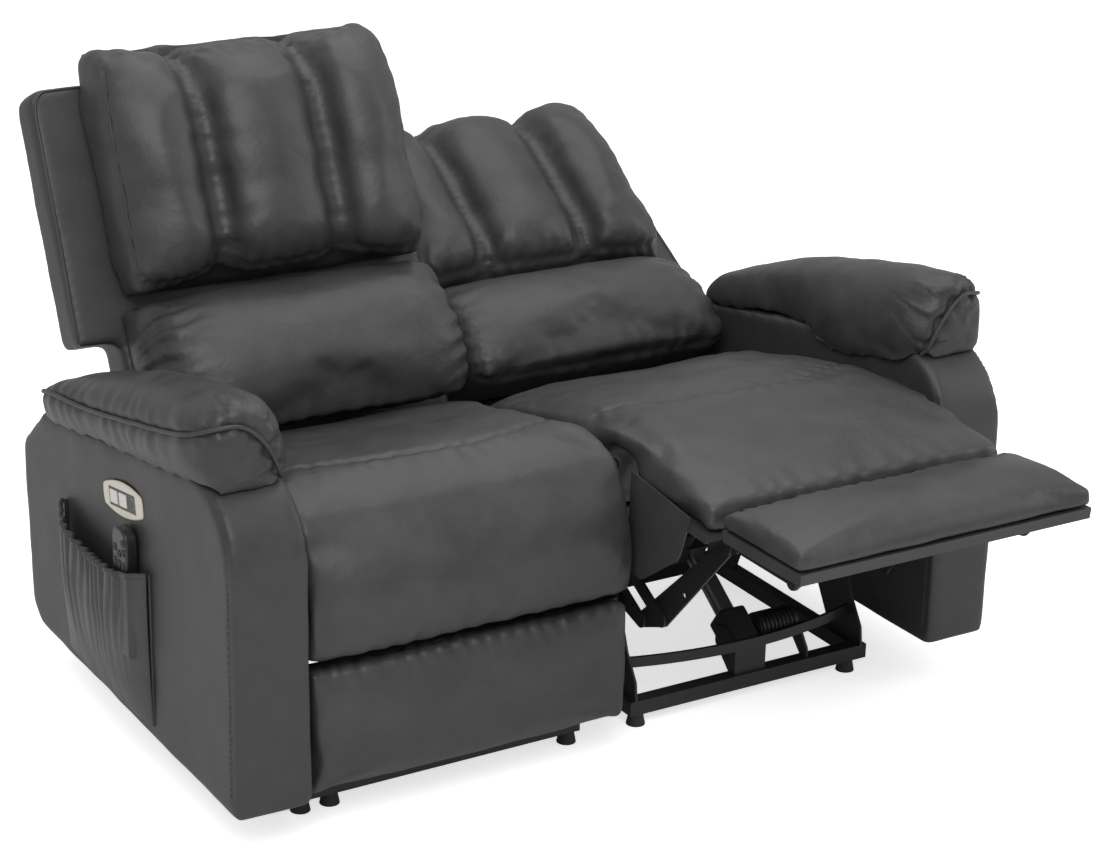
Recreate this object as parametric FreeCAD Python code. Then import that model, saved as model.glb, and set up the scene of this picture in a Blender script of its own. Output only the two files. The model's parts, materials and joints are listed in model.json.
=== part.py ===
import FreeCAD, Part
import math
import os

V = FreeCAD.Vector

# Reclining sofa for two, in millimetres.
# X runs to the sitter's left as one looks at the front, Y runs back and Z runs up from the floor.
# The left seat stands upright with its footrest closed, the right seat lies back with its footrest out.

# Arms
ARM_SPAN = 1400.0
ARM_WIDTH = 125.0
ARM_DEPTH = 839.0
ARM_BOTTOM = 70.0
ARM_FRONT_TOP = 597.0
ARM_TOP_FALL = 0.1667
ARM_NOSE_RADIUS = 125.0
ARM_BACK_EDGE = 738.0
ARM_BACK_CORNER = 392.0
ARM_REAR_LEAN = 11.0
ARM_SOFT_EDGE = 5.0
ORIGIN_BEHIND_FRONT = 417.3

# Arm pads
PAD_OVERHANG = 17.0
PAD_PIPING_RISE = 54.0
PAD_CREST_RISE = 121.0
PAD_CREST_Y = 190.0
PAD_CREST_FALL = 0.00026
PAD_REAR = 742.0
PAD_NOSE = 60.0
PAD_SINK = 14.0
PAD_FLANK = 12.0
PAD_OFF_SEAT = 5.0

# Control panels and handset
PANEL_Y = 391.0
PANEL_Z = 443.0
PANEL_TILT = 9.5
BEZEL_LENGTH = 154.0
BEZEL_HEIGHT = 56.0
BEZEL_PROUD = 3.0
INSERT_LENGTH = 106.0
INSERT_HEIGHT = 30.0
INSERT_DEPTH = 14.0
INSERT_FIT = 0.2
BUTTON_WIDTH = 27.0
BUTTON_HEIGHT = 21.0
BUTTON_PITCH = 36.0
BUTTON_PROUD = 2.2
BUTTON_TRAVEL = 1.5
BUTTON_GAP = 0.4
USB_WIDTH = 8.0
USB_HEIGHT = 16.0
POCKET_FRONT = 295.0
POCKET_REAR = 640.0
POCKET_BOTTOM = 100.0
POCKET_TOP = 357.0
POCKET_SAG = 26.0
POCKET_WALL = 2.5
POCKET_HEM_BULGE = 29.0
POCKET_BELLY = 34.0
POCKET_FOOT_BULGE = 8.0
HANDSET_WIDTH = 56.0
HANDSET_LENGTH = 185.0
HANDSET_THICK = 17.9
HANDSET_TOP = 411.0
HANDSET_Y = 363.0
KEY_RADIUS = 6.0
KEY_PROUD = 1.4
KEY_PITCH = 16.0
KEY_TRAVEL = 0.8

# Seats
SEAT_SIDE_GAP = 5.0
SEAT_FRONT = 140.0
SEAT_REAR = 545.0
SEAT_REAR_TOP = 440.0
SEAT_DIP_Y = 462.0
SEAT_DIP_Z = 462.0
SEAT_NOSE_TOP = 521.0
SEAT_CROWN = 12.0
SEAT_PINCH = 7.0
LIP_CLEAR = 2.5

# Footrest, its hinge line at the top of the seat front
HINGE_Y = 58.0
HINGE_Z = 501.0
CHAISE_LENGTH = 228.6
CHAISE_CLOSED = 8.5
CHAISE_SWING = 79.0
CHAISE_CROWN_CLOSED = 48.0
CHAISE_CROWN_OPEN = 18.0
CHAISE_PAD_DEEP = 48.0
BOARD_THICK = 12.0
FOOT_LENGTH = 212.0
FOOT_CLOSED = -1.0
FOOT_TILT = 13.0
FOOT_CROWN = 18.0
FOOT_PAD_DEEP = 30.0
FOOT_BOARD_THICK = 18.0
FOOT_NARROWER = 9.0
PAD_INSET = 3.5
SKIRT_THICK = 2.0
SKIRT_REACH = 175.0
SKIRT_DROP = 190.0

# Backs, in their own frame: u runs back from the pivot, v runs up along the back
BACK_PIVOT_Y = 521.0
BACK_PIVOT_Z = 331.0
BACK_LEAN = 23.0
BACK_RECLINE = 33.0
SHELL_BOTTOM = -30.0
SHELL_TOP = 730.0
SHELL_REAR = 155.0
SHELL_FRONT_LOW = 52.0
SHELL_FRONT_TOP = 84.0
SHELL_GAP = 4.0
WING_BOTTOM = 304.0
WING_REACH = 74.0
WING_CORNER = 30.0
LUMBAR_BOTTOM = 104.0
LUMBAR_TOP = 362.0
LUMBAR_CREST = 122.0
CUSHION_TOP = 782.0
CUSHION_CREST = 74.0
CUSHION_SPLIT = 3.0
CUSHION_SHIFT = 12.0
CUSHION_HALF = 268.0
CHANNEL_MIDDLE = 212.0

# Steel mechanism
STEEL = 4.0
LAYER = 5.0
PLATE_X = 226.0
PIVOT_R = 5.0
PIVOT_PLAY = 0.05
RIVET_HEAD = 9.0
RIVET_RISE = 2.0
LINK_HALF = 13.0
CRANK_APART_Y = 59.0
CRANK_APART_Z = -24.0
HANGER_ALONG = 184.7
HANGER_DEEP = 89.6
COUPLER_BACK = 170.0
COUPLER_DROP = 190.0
CONTROL_ALONG = 118.0
CONTROL_DEEP = 84.0
CONTROL_PLAY = 4.2
DRIVE_ARM = 48.0
DRIVE_TUBE_R = 10.0
RAIL_SLOPE = 35.0
RAIL_OFFSET = 40.0
RAIL_SIDE = 24.0
RAIL_FRONT = 180.0
GEARBOX_AHEAD = 28.0
GEARBOX_FRONT = 30.0
GEARBOX_BACK = 38.0
RAIL_BACK = 470.0
YOKE_PLAY = 1.4
MOTOR_R = 27.0
MOTOR_LENGTH = 72.0
MOTOR_RIBS = 9
MOTOR_START = 35.5

# Base
BASE_HALF = 239.0
BASE_TUBE = 25.0
BASE_FRONT = 102.0
BASE_REACH = 60.0
BASE_REAR = 570.0
FOOT_HEIGHT = 20.0
FOOT_R = 16.0
BAR_Y = 110.0
BAR_BOW = 36.0
BAR_Z = 97.0
BAR_HEIGHT = 18.0
BAR_THICK = 6.0
FOOT_INSET = 34.0

# Seat boxes
BOX_HALF = 272.0
BOX_FRONT = 142.0
BOX_REAR = 500.0
BOX_BOTTOM = 312.0
BOX_TOP = 374.0
BOX_BOARD = 20.0
SPRING_WIRE = 3.4
SPRINGS = 4
SPRING_BENDS = 10
CUSHION_OFF_SPRINGS = 0.3

ARM_INSIDE = ARM_SPAN / 2 - ARM_WIDTH
SEAT_PITCH = ARM_INSIDE
SEAT_X = SEAT_PITCH / 2
SEAT_HALF = SEAT_PITCH / 2 - SEAT_SIDE_GAP
CHAISE_HALF = SEAT_HALF + 1.5
LUMBAR_HALF = SEAT_HALF - 2.5
SEAT_BASE = BOX_TOP + SPRING_WIRE + CUSHION_OFF_SPRINGS


def turn(point, centre, degrees):
    """Turns a (y, z) point about a centre so that what hangs down swings forward and up."""
    c = math.cos(math.radians(degrees))
    s = math.sin(math.radians(degrees))
    dy = point[0] - centre[0]
    dz = point[1] - centre[1]
    return (centre[0] + c * dy + s * dz, centre[1] - s * dy + c * dz)


def swing(shape, centre, degrees):
    """The same turn for a solid."""
    turned = shape.copy()
    turned.rotate(V(0, centre[0], centre[1]), V(-1, 0, 0), degrees)
    return turned


def along(origin, degrees, run, deep):
    """A (y, z) point: run along a pad that hangs at an angle from down, deep behind its face."""
    c = math.cos(math.radians(degrees))
    s = math.sin(math.radians(degrees))
    return (origin[0] - run * s + deep * c, origin[1] - run * c - deep * s)


# Pivots of the footrest, with the footrest closed
HINGE = (HINGE_Y, HINGE_Z)
CREASE = along(HINGE, CHAISE_CLOSED, CHAISE_LENGTH, 0)
HANGER = along(HINGE, CHAISE_CLOSED, HANGER_ALONG, HANGER_DEEP)
LIFT_END = (HANGER[0] + COUPLER_BACK, HANGER[1] - COUPLER_DROP)
LIFT = (HINGE[0] + COUPLER_BACK, HINGE[1] - COUPLER_DROP)
DRIVE = (LIFT[0] + CRANK_APART_Y, LIFT[1] + CRANK_APART_Z)
DRIVE_END = (LIFT_END[0] + CRANK_APART_Y, LIFT_END[1] + CRANK_APART_Z)
CONTROL_FAR = along(CREASE, FOOT_CLOSED, CONTROL_ALONG, CONTROL_DEEP)
BACK_PIVOT = (BACK_PIVOT_Y, BACK_PIVOT_Z)


def shift_of_coupler(degrees):
    """How far the coupler plates have moved when the chaise has swung by an angle."""
    moved = turn(HANGER, HINGE, degrees)
    return (moved[0] - HANGER[0], moved[1] - HANGER[1])


def foot_point(point, share):
    """Where a point of the closed footrest is when the footrest is out by a share of its travel."""
    tilted = turn(point, CREASE, FOOT_TILT * share)
    return turn(tilted, HINGE, CHAISE_SWING * share)


def control_pole():
    """The one point of the coupler plate that meets the footrest again when the footrest is out."""
    shift = shift_of_coupler(CHAISE_SWING)
    whole = CHAISE_SWING + FOOT_TILT
    c = math.cos(math.radians(whole))
    s = math.sin(math.radians(whole))
    at_zero = foot_point((0, 0), 1)
    gap_y = at_zero[0] - shift[0]
    gap_z = at_zero[1] - shift[1]
    det = (1 - c) ** 2 + s ** 2
    return (((1 - c) * gap_y + s * gap_z) / det, ((1 - c) * gap_z - s * gap_y) / det)


CONTROL = control_pole()


def back_point(u, v):
    """A (y, z) point of the upright back from its own u and v."""
    return along(BACK_PIVOT, 180 + BACK_LEAN, v, -u)


def outline(corners, place):
    """A closed wire through (a, b, radius) corners, each one rounded, set in space by place(a, b)."""
    spans = []
    count = len(corners)
    for i in range(count):
        a, b, radius = corners[i]
        here = V(a, b, 0)
        back = V(corners[i - 1][0], corners[i - 1][1], 0) - here
        ahead = V(corners[(i + 1) % count][0], corners[(i + 1) % count][1], 0) - here
        if radius <= 0:
            spans.append((here, None, here))
            continue
        half = back.getAngle(ahead) / 2
        back.normalize()
        ahead.normalize()
        reach = radius / math.tan(half)
        middle = (back + ahead).normalize()
        centre = here + middle * (radius / math.sin(half))
        spans.append((here + back * reach, centre - middle * radius, here + ahead * reach))
    edges = []
    for i in range(count):
        start, middle, end = spans[i]
        if middle is not None:
            edges.append(Part.Arc(*[place(p.x, p.y) for p in (start, middle, end)]).toShape())
        following = spans[(i + 1) % count][0]
        if (following - end).Length > 1e-6:
            edges.append(Part.LineSegment(place(end.x, end.y), place(following.x, following.y)).toShape())
    return Part.Wire(edges)


def profile(corners, x0, x1):
    """A (y, z) outline drawn out across the sofa from x0 to x1."""
    wire = outline(corners, lambda a, b: V(x0, a, b))
    return Part.Face(wire).extrude(V(x1 - x0, 0, 0))


def block(x0, x1, y0, y1, z0, z1):
    return Part.makeBox(x1 - x0, y1 - y0, z1 - z0, V(x0, y0, z0))


def rod(point, radius, x0, x1):
    """A round bar across the sofa at a (y, z) point."""
    return Part.makeCylinder(radius, abs(x1 - x0), V(min(x0, x1), point[0], point[1]), V(1, 0, 0))


def line(a, b):
    return Part.LineSegment(a, b).toShape()


def arc(a, b, c):
    return Part.Arc(a, b, c).toShape()


def fused(shapes):
    whole = shapes[0]
    if len(shapes) > 1:
        whole = whole.fuse(shapes[1:])
    return whole.removeSplitter()


def both_sides(shape):
    """A piece and its twin on the other side of the seat's middle."""
    return [shape, shape.mirror(V(0, 0, 0), V(1, 0, 0))]


def at_seat(shape, side):
    """A piece of a seat, modelled about the seat's middle with the arm on its +X side, in place."""
    placed = shape.copy()
    placed.translate(V(SEAT_X, 0, 0))
    if side < 0:
        placed = placed.mirror(V(0, 0, 0), V(1, 0, 0))
    return placed


def arm_top(y):
    return ARM_FRONT_TOP - ARM_TOP_FALL * y


def arm_case():
    """The upholstered box of an arm: rounded nose, falling top and a rear corner cut for the wing."""
    corners = [
        (0, ARM_BOTTOM, 8),
        (0, arm_top(0), ARM_NOSE_RADIUS),
        (ARM_BACK_EDGE, arm_top(ARM_BACK_EDGE), 30),
        (ARM_DEPTH, ARM_BACK_CORNER, 12),
        (ARM_DEPTH - ARM_REAR_LEAN, ARM_BOTTOM + 33, 15),
        (ARM_DEPTH - ARM_REAR_LEAN - 33, ARM_BOTTOM, 15),
    ]
    case = profile(corners, ARM_INSIDE, ARM_INSIDE + ARM_WIDTH)
    outer = ARM_INSIDE + ARM_WIDTH
    rims = [e for e in case.Edges if abs(e.BoundBox.XMin - e.BoundBox.XMax) < 0.01]
    case = case.makeFillet(ARM_SOFT_EDGE, rims)
    return case.cut(on_panel(insert_block(outer - INSERT_DEPTH, outer + 1, INSERT_FIT)))


def arm_surface(y):
    """Height of the arm's own top at a depth, round the nose and down the rear corner."""
    if y < ARM_NOSE_RADIUS:
        middle = arm_top(ARM_NOSE_RADIUS) - ARM_NOSE_RADIUS
        return middle + math.sqrt(ARM_NOSE_RADIUS ** 2 - (ARM_NOSE_RADIUS - y) ** 2)
    if y > ARM_BACK_EDGE:
        slope = (arm_top(ARM_BACK_EDGE) - ARM_BACK_CORNER) / (ARM_DEPTH - ARM_BACK_EDGE)
        return arm_top(ARM_BACK_EDGE) - slope * (y - ARM_BACK_EDGE)
    return arm_top(y)


def seat_side(y):
    """Height of the seat cushion's top along its side, which the arm pad hangs down to."""
    slope = (SEAT_NOSE_TOP - SEAT_DIP_Z) / (SEAT_DIP_Y - SEAT_FRONT)
    return SEAT_NOSE_TOP + PAD_OFF_SEAT - slope * (y - SEAT_FRONT)


def arm_pad_section(y, share, crest):
    """One cross-section of the pad: out to the piping, over the crown and down the inner side."""
    hanging = max(0.0, min(1.0, (430 - y) / 120))
    inner = ARM_INSIDE + 2 - 3 * hanging + (1 - share) * 40
    outer = ARM_INSIDE + ARM_WIDTH + PAD_OVERHANG - (1 - share) * 46
    low = arm_surface(y) - PAD_SINK
    piping = low + PAD_SINK + (PAD_PIPING_RISE + 12 * max(0.0, 1 - y / 200)) * (0.45 + 0.55 * share)
    hang = low + (min(low - 2, max(seat_side(y), low - 90)) - low) * max(hanging, 0.05)
    flank = PAD_FLANK * hanging * share
    a = V(inner, y, hang)
    b = V(outer - 12, y, low)
    c = V(outer, y, piping)
    d = V(outer - 28, y, crest - (crest - piping) * 0.2)
    e = V(inner + 18, y, crest - (crest - piping) * 0.2)
    bulge = V(outer - 1, y, low + (piping - low) * 0.5)
    shoulder = V(outer - 7, y, piping + (d.z - piping) * 0.66)
    crown = V((inner + outer) / 2 + 2, y, crest)
    side = V(inner - flank, y, hang + (e.z - hang) * 0.6)
    return Part.Wire([line(a, b), arc(b, bulge, c), arc(c, shoulder, d), arc(d, crown, e), arc(e, side, a)])


def pad_crest(y):
    return arm_top(y) + PAD_CREST_RISE - PAD_CREST_FALL * (y - PAD_CREST_Y) ** 2


def arm_pad(case):
    """The pillow top: a long crowned pad that overhangs both faces of the arm and ends in a blunt nose."""
    sections = [
        arm_pad_section(PAD_NOSE, 0.35, pad_crest(PAD_NOSE) - 30),
        arm_pad_section(PAD_NOSE + 14, 0.7, pad_crest(PAD_NOSE) - 14),
        arm_pad_section(PAD_NOSE + 46, 0.95, pad_crest(PAD_NOSE + 46) - 3),
    ]
    for y in (160.0, 310.0, 440.0, 570.0, 670.0):
        sections.append(arm_pad_section(y, 1.0, pad_crest(y)))
    sections.append(arm_pad_section(PAD_REAR - 32, 0.85, pad_crest(PAD_REAR - 32) - 6))
    sections.append(arm_pad_section(PAD_REAR, 0.3, arm_surface(PAD_REAR) + 26))
    return Part.makeLoft(sections, True, False).cut(case)


def on_panel(shape):
    """The panel follows the fall of the arm's top."""
    return swing(shape, (PANEL_Y, PANEL_Z), PANEL_TILT)


def insert_block(x0, x1, room):
    """The outline of the panel's insert, with room round it for the hole that it fits."""
    long = INSERT_LENGTH / 2 + room
    tall = INSERT_HEIGHT / 2 + room
    return block(x0, x1, PANEL_Y - long, PANEL_Y + long, PANEL_Z - tall, PANEL_Z + tall)


def oval(x0, x1):
    """The bezel's outline: long sides bowed, short ends nearly straight, corners rounded."""
    half = BEZEL_LENGTH / 2
    rise = BEZEL_HEIGHT / 2
    blunt = BEZEL_HEIGHT * 0.3
    def at(y, z):
        return V(x0, PANEL_Y + y, PANEL_Z + z)
    wire = Part.Wire([
        arc(at(-half + 3, -blunt), at(0, -rise), at(half - 3, -blunt)),
        arc(at(half - 3, -blunt), at(half, 0), at(half - 3, blunt)),
        arc(at(half - 3, blunt), at(0, rise), at(-half + 3, blunt)),
        arc(at(-half + 3, blunt), at(-half, 0), at(-half + 3, -blunt)),
    ])
    plate = Part.Face(wire).extrude(V(x1 - x0, 0, 0))
    corners = [e for e in plate.Edges if e.BoundBox.YLength < 0.01 and e.BoundBox.ZLength < 0.01]
    return plate.makeFillet(7, corners)


def panel_bezel():
    """The pale oval frame round the panel, on the arm's outer face."""
    face = ARM_SPAN / 2
    ring = oval(face, face + BEZEL_PROUD)
    rims = [e for e in ring.Edges if e.BoundBox.XMin > face + BEZEL_PROUD - 0.01]
    ring = ring.makeChamfer(BEZEL_PROUD * 0.5, rims)
    return on_panel(ring.cut(insert_block(face - 1, face + BEZEL_PROUD + 1, INSERT_FIT)))


def button_places():
    """The middles of the two buttons along Y, behind the USB socket at the panel's front end."""
    return [PANEL_Y - 3, PANEL_Y - 3 + BUTTON_PITCH]


def usb_place():
    return PANEL_Y - INSERT_LENGTH / 2 + 13


def panel_insert():
    """The black moulding in the bezel, with a well for each button and a window for the socket."""
    face = ARM_SPAN / 2
    body = insert_block(face - INSERT_DEPTH, face + BEZEL_PROUD - 1, 0)
    half = BUTTON_WIDTH / 2 + BUTTON_GAP
    rise = BUTTON_HEIGHT / 2 + BUTTON_GAP
    for y in button_places():
        well = block(face - INSERT_DEPTH + 3, face + 5, y - half, y + half, PANEL_Z - rise, PANEL_Z + rise)
        body = body.cut(well)
    window = block(
        face - INSERT_DEPTH + 2, face + 5,
        usb_place() - USB_WIDTH / 2, usb_place() + USB_WIDTH / 2,
        PANEL_Z - USB_HEIGHT / 2, PANEL_Z + USB_HEIGHT / 2,
    )
    return on_panel(body.cut(window))


def usb_socket():
    """The metal shell and tongue of the USB socket."""
    face = ARM_SPAN / 2
    front = face + BEZEL_PROUD - 1.2
    y = usb_place()
    shell = block(
        face - INSERT_DEPTH + 2, front,
        y - USB_WIDTH / 2, y + USB_WIDTH / 2, PANEL_Z - USB_HEIGHT / 2, PANEL_Z + USB_HEIGHT / 2,
    )
    mouth = block(
        face - INSERT_DEPTH + 4, front + 1,
        y - USB_WIDTH / 2 + 1, y + USB_WIDTH / 2 - 1,
        PANEL_Z - USB_HEIGHT / 2 + 1, PANEL_Z + USB_HEIGHT / 2 - 1,
    )
    tongue = block(
        face - INSERT_DEPTH + 4, front - 1,
        y + 0.4, y + 2.2, PANEL_Z - USB_HEIGHT / 2 + 2, PANEL_Z + USB_HEIGHT / 2 - 2,
    )
    return on_panel(shell.cut(mouth).fuse(tongue))


def panel_button(y):
    """A square button that springs back, standing a little out of its well."""
    face = ARM_SPAN / 2
    half = BUTTON_WIDTH / 2
    rise = BUTTON_HEIGHT / 2
    top = face + BEZEL_PROUD - 1 + BUTTON_PROUD
    back = face - INSERT_DEPTH + 3 + BUTTON_TRAVEL + 0.3
    cap = block(back, top, y - half, y + half, PANEL_Z - rise, PANEL_Z + rise)
    rims = [e for e in cap.Edges if e.BoundBox.XMin > top - 0.01]
    return on_panel(cap.makeChamfer(0.6, rims))


def pocket_section(z, bulge, inset):
    """Cross-section of the pocket at a height: flat on the arm, a gusset at each side, bowed in front."""
    face = ARM_SPAN / 2
    y0 = POCKET_FRONT + inset
    y1 = POCKET_REAR - inset
    a = V(face, y0, z)
    b = V(face + bulge * 0.7, y0 + 10, z)
    c = V(face + bulge * 0.7, y1 - 10, z)
    d = V(face, y1, z)
    bow = V(face + bulge, (y0 + y1) / 2, z)
    return Part.Wire([line(a, b), arc(b, bow, c), line(c, d), line(d, a)])


def side_pocket():
    """The leather pouch on the arm: sewn down at the sides and the foot, its open top drawn in."""
    top = POCKET_TOP
    belly = POCKET_BOTTOM + (top - POCKET_BOTTOM) * 0.5
    wall = POCKET_WALL
    seam = wall * 1.6
    outer = Part.makeLoft([
        pocket_section(POCKET_BOTTOM, POCKET_FOOT_BULGE, 0),
        pocket_section(belly, POCKET_BELLY, 0),
        pocket_section(top, POCKET_HEM_BULGE, 0),
    ], True, False)
    inner = Part.makeLoft([
        pocket_section(POCKET_BOTTOM + wall, POCKET_FOOT_BULGE - wall, seam),
        pocket_section(belly, POCKET_BELLY - wall, seam),
        pocket_section(top + 1, POCKET_HEM_BULGE - wall, seam),
    ], True, False)
    middle = (POCKET_FRONT + POCKET_REAR) / 2
    half = (POCKET_REAR - POCKET_FRONT) / 2
    radius = (half * half + POCKET_SAG * POCKET_SAG) / (2 * POCKET_SAG)
    centre = V(ARM_SPAN / 2 - 5, middle, top - POCKET_SAG + radius)
    sag = Part.makeCylinder(radius, POCKET_BELLY + 20, centre, V(1, 0, 0))
    return outer.cut(inner).cut(sag)


def handset_lean():
    """X of the handset's back, a hair clear of the bezel and buttons that it slides up past."""
    return ARM_SPAN / 2 + BEZEL_PROUD - 1 + BUTTON_PROUD + 0.4


def handset_case():
    """A slim hand control with a rounded head, standing in the pocket."""
    x0 = handset_lean()
    half = HANDSET_WIDTH / 2
    low = HANDSET_TOP - HANDSET_LENGTH
    corners = [
        (HANDSET_Y - half + 3, low, 10),
        (HANDSET_Y - half, HANDSET_TOP, 22),
        (HANDSET_Y + half, HANDSET_TOP, 22),
        (HANDSET_Y + half - 3, low, 10),
    ]
    case = profile(corners, x0, x0 + HANDSET_THICK)
    rims = [e for e in case.Edges if e.BoundBox.XMin > x0 + HANDSET_THICK - 0.01]
    case = case.makeFillet(4, rims)
    for y, z in key_places():
        case = case.cut(rod((y, z), KEY_RADIUS + 0.3, x0 + HANDSET_THICK - 4, x0 + HANDSET_THICK + 1))
    return case


def key_places():
    """Seven round keys: one beside the small picture, a group of three, then a row of three."""
    places = [(-KEY_PITCH, 20), (-KEY_PITCH, 36), (KEY_PITCH, 36), (0, 42)]
    for i in (-1, 0, 1):
        places.append((i * KEY_PITCH, 58))
    return [(HANDSET_Y + offset, HANDSET_TOP - drop) for offset, drop in places]


def handset_keys():
    """The keys, a little proud of the case; they are knobs of one rubber mat in the real thing."""
    x1 = handset_lean() + HANDSET_THICK
    keys = []
    for point in key_places():
        key = rod(point, KEY_RADIUS, x1 - 4 + KEY_TRAVEL + 0.2, x1 + KEY_PROUD)
        dish = rod(point, KEY_RADIUS * 0.55, x1 + KEY_PROUD - 0.6, x1 + KEY_PROUD + 1)
        keys.append(key.cut(dish))
    return Part.makeCompound(keys)


def seat_section(x, crown, pinch):
    """Lengthwise section of the seat cushion, with a lip in front that lies over the chaise pad."""
    lip = along(HINGE, CHAISE_CLOSED, -LIP_CLEAR, 3)
    rear_top = V(x, SEAT_REAR - pinch, SEAT_REAR_TOP - pinch)
    dip = V(x, SEAT_DIP_Y, SEAT_DIP_Z - pinch * 0.6)
    brow = V(x, SEAT_FRONT + 14, SEAT_NOSE_TOP + crown * 0.35)
    rise = V(x, (SEAT_DIP_Y + SEAT_FRONT) / 2, (SEAT_DIP_Z + SEAT_NOSE_TOP) / 2 + crown)
    roll = V(x, (SEAT_FRONT + lip[0]) / 2 - 8, (SEAT_NOSE_TOP + crown * 0.35 + lip[1]) / 2 + 6)
    nose = V(x, lip[0] + 1, lip[1] + 1.5)
    under = V(x, SEAT_FRONT, lip[1] - 6)
    foot = V(x, SEAT_FRONT, SEAT_BASE)
    heel = V(x, SEAT_REAR - pinch, SEAT_BASE)
    return Part.Wire([
        line(heel, rear_top),
        line(rear_top, dip),
        arc(dip, rise, brow),
        arc(brow, roll, nose),
        line(nose, under),
        line(under, foot),
        line(foot, heel),
    ])


def seat_cushion():
    """Foam seat in leather: crowned in the middle and drawn in at its sides."""
    half = SEAT_HALF
    stations = [(-half, 2.0, SEAT_PINCH), (-half * 0.86, SEAT_CROWN * 0.8, 1.0), (0, SEAT_CROWN + 2, 0.0),
                (half * 0.86, SEAT_CROWN * 0.8, 1.0), (half, 2.0, SEAT_PINCH)]
    return Part.makeLoft([seat_section(*s) for s in stations], True, False)


def pad_section(origin, angle, x, length, deep, crown, start, bevel):
    """Section of a footrest pad: a crowned face with rolled ends over a flat back."""
    def at(run, depth):
        y, z = along(origin, angle, run, depth)
        return V(x, y, z)
    a = at(start + 1, deep)
    b = at(start, 2)
    c = at(length * 0.5, -crown)
    d = at(length - 10, -crown * 0.22)
    e = at(length - 2, 8)
    f = at(length - bevel * 0.4, deep * 0.45)
    g = at(length - bevel, deep)
    return Part.Wire([line(a, b), arc(b, c, d), arc(d, e, f), line(f, g), line(g, a)])


def chaise_pad(crown):
    """The pad that runs on from the seat: it covers the front when closed and carries the calves."""
    half = CHAISE_HALF
    sections = []
    for x, share in ((-half, 0.4), (-half * 0.84, 0.86), (0, 1.0), (half * 0.84, 0.86), (half, 0.4)):
        sections.append(pad_section(
            HINGE, CHAISE_CLOSED, x, CHAISE_LENGTH - PAD_INSET, CHAISE_PAD_DEEP, crown * share, 3, 9))
    return Part.makeLoft(sections, True, False)


def chaise_board():
    """The plywood board under the chaise pad."""
    corners = []
    for run, deep in ((7, 0), (CHAISE_LENGTH - 13, 0), (CHAISE_LENGTH - 15, 1), (7, 1)):
        y, z = along(HINGE, CHAISE_CLOSED, run, CHAISE_PAD_DEEP + deep * BOARD_THICK)
        corners.append((y, z, 0))
    return profile(corners, -CHAISE_HALF, CHAISE_HALF)


def chaise_skirts():
    """Leather gussets at the board's ends, which close the side of the open footrest."""
    corners = []
    reach = SKIRT_REACH
    drop = SKIRT_DROP
    edge = [(8, 22, 4), (reach, 34, 6), (reach * 0.86, drop * 0.6, 40)]
    edge += [(reach * 0.3, drop, 20), (8, drop, 8)]
    for run, deep, radius in edge:
        y, z = along(HINGE, CHAISE_CLOSED, run, deep)
        corners.append((y, z, radius))
    skirt = profile(corners, CHAISE_HALF, CHAISE_HALF + SKIRT_THICK)
    return Part.makeCompound(both_sides(skirt))


def footrest_pad():
    """The padded face of the footrest."""
    half = CHAISE_HALF - FOOT_NARROWER
    sections = []
    for x, share in ((-half, 0.4), (-half * 0.86, 0.86), (0, 1.0), (half * 0.86, 0.86), (half, 0.4)):
        crown = FOOT_CROWN * share
        section = pad_section(CREASE, FOOT_CLOSED, x, FOOT_LENGTH, FOOT_PAD_DEEP, crown, PAD_INSET, 3)
        sections.append(section)
    return Part.makeLoft(sections, True, False)


def footrest_board():
    """The board under the footrest pad, its edges wrapped in leather."""
    corners = []
    for run, deep in ((9, 0), (FOOT_LENGTH - 4, 0), (FOOT_LENGTH - 6, 1), (11, 1)):
        y, z = along(CREASE, FOOT_CLOSED, run, FOOT_PAD_DEEP + deep * FOOT_BOARD_THICK)
        corners.append((y, z, 0))
    half = CHAISE_HALF - FOOT_NARROWER - 3
    return profile(corners, -half, half)


def layer_x(layer):
    """The inner and outer X of a sheet-steel layer, counted inward from the side plates."""
    inner = PLATE_X - layer * LAYER
    return inner, inner + STEEL


def hull(points, radius, x0, x1):
    """A stamped link: round ends at the points, joined by straight flanks."""
    shapes = [rod(p, radius, x0, x1) for p in points]
    count = len(points)
    pairs = [(0, 1)] if count == 2 else [(i, (i + 1) % count) for i in range(count)]
    for i, j in pairs:
        a = V(0, *points[i])
        b = V(0, *points[j])
        side = (b - a).cross(V(1, 0, 0)).normalize() * radius
        ring = [a + side, b + side, b - side, a - side]
        wire = Part.makePolygon([V(x0, p.y, p.z) for p in ring] + [V(x0, ring[0].y, ring[0].z)])
        shapes.append(Part.Face(wire).extrude(V(x1 - x0, 0, 0)))
    return fused(shapes)


def drilled(shape, point, x0, x1, play=PIVOT_PLAY):
    return shape.cut(rod(point, PIVOT_R + play, min(x0, x1) - 1, max(x0, x1) + 1))


def rivet(point, x_from, x_to, head=True):
    """A rivet from x_from inward to x_to, with its head past the end."""
    pin = rod(point, PIVOT_R, x_from, x_to)
    if not head:
        return pin
    return pin.fuse(rod(point, RIVET_HEAD, x_to, x_to - RIVET_RISE))


def crank_arm():
    """Where the drive tube sits on the drive cranks, with the footrest closed."""
    angle = -RAIL_SLOPE - CHAISE_SWING / 2
    return along(DRIVE, angle, DRIVE_ARM, 0)


def lift_links():
    """The front pair of cranks, between the side plates and the coupler plates."""
    x0, x1 = layer_x(1)
    crank = hull([LIFT, LIFT_END], LINK_HALF, x0, x1)
    crank = drilled(crank, LIFT, x0, x1)
    crank = crank.fuse(rivet(LIFT_END, x0, layer_x(2)[0] - 0.3))
    return Part.makeCompound(both_sides(crank))


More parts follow.
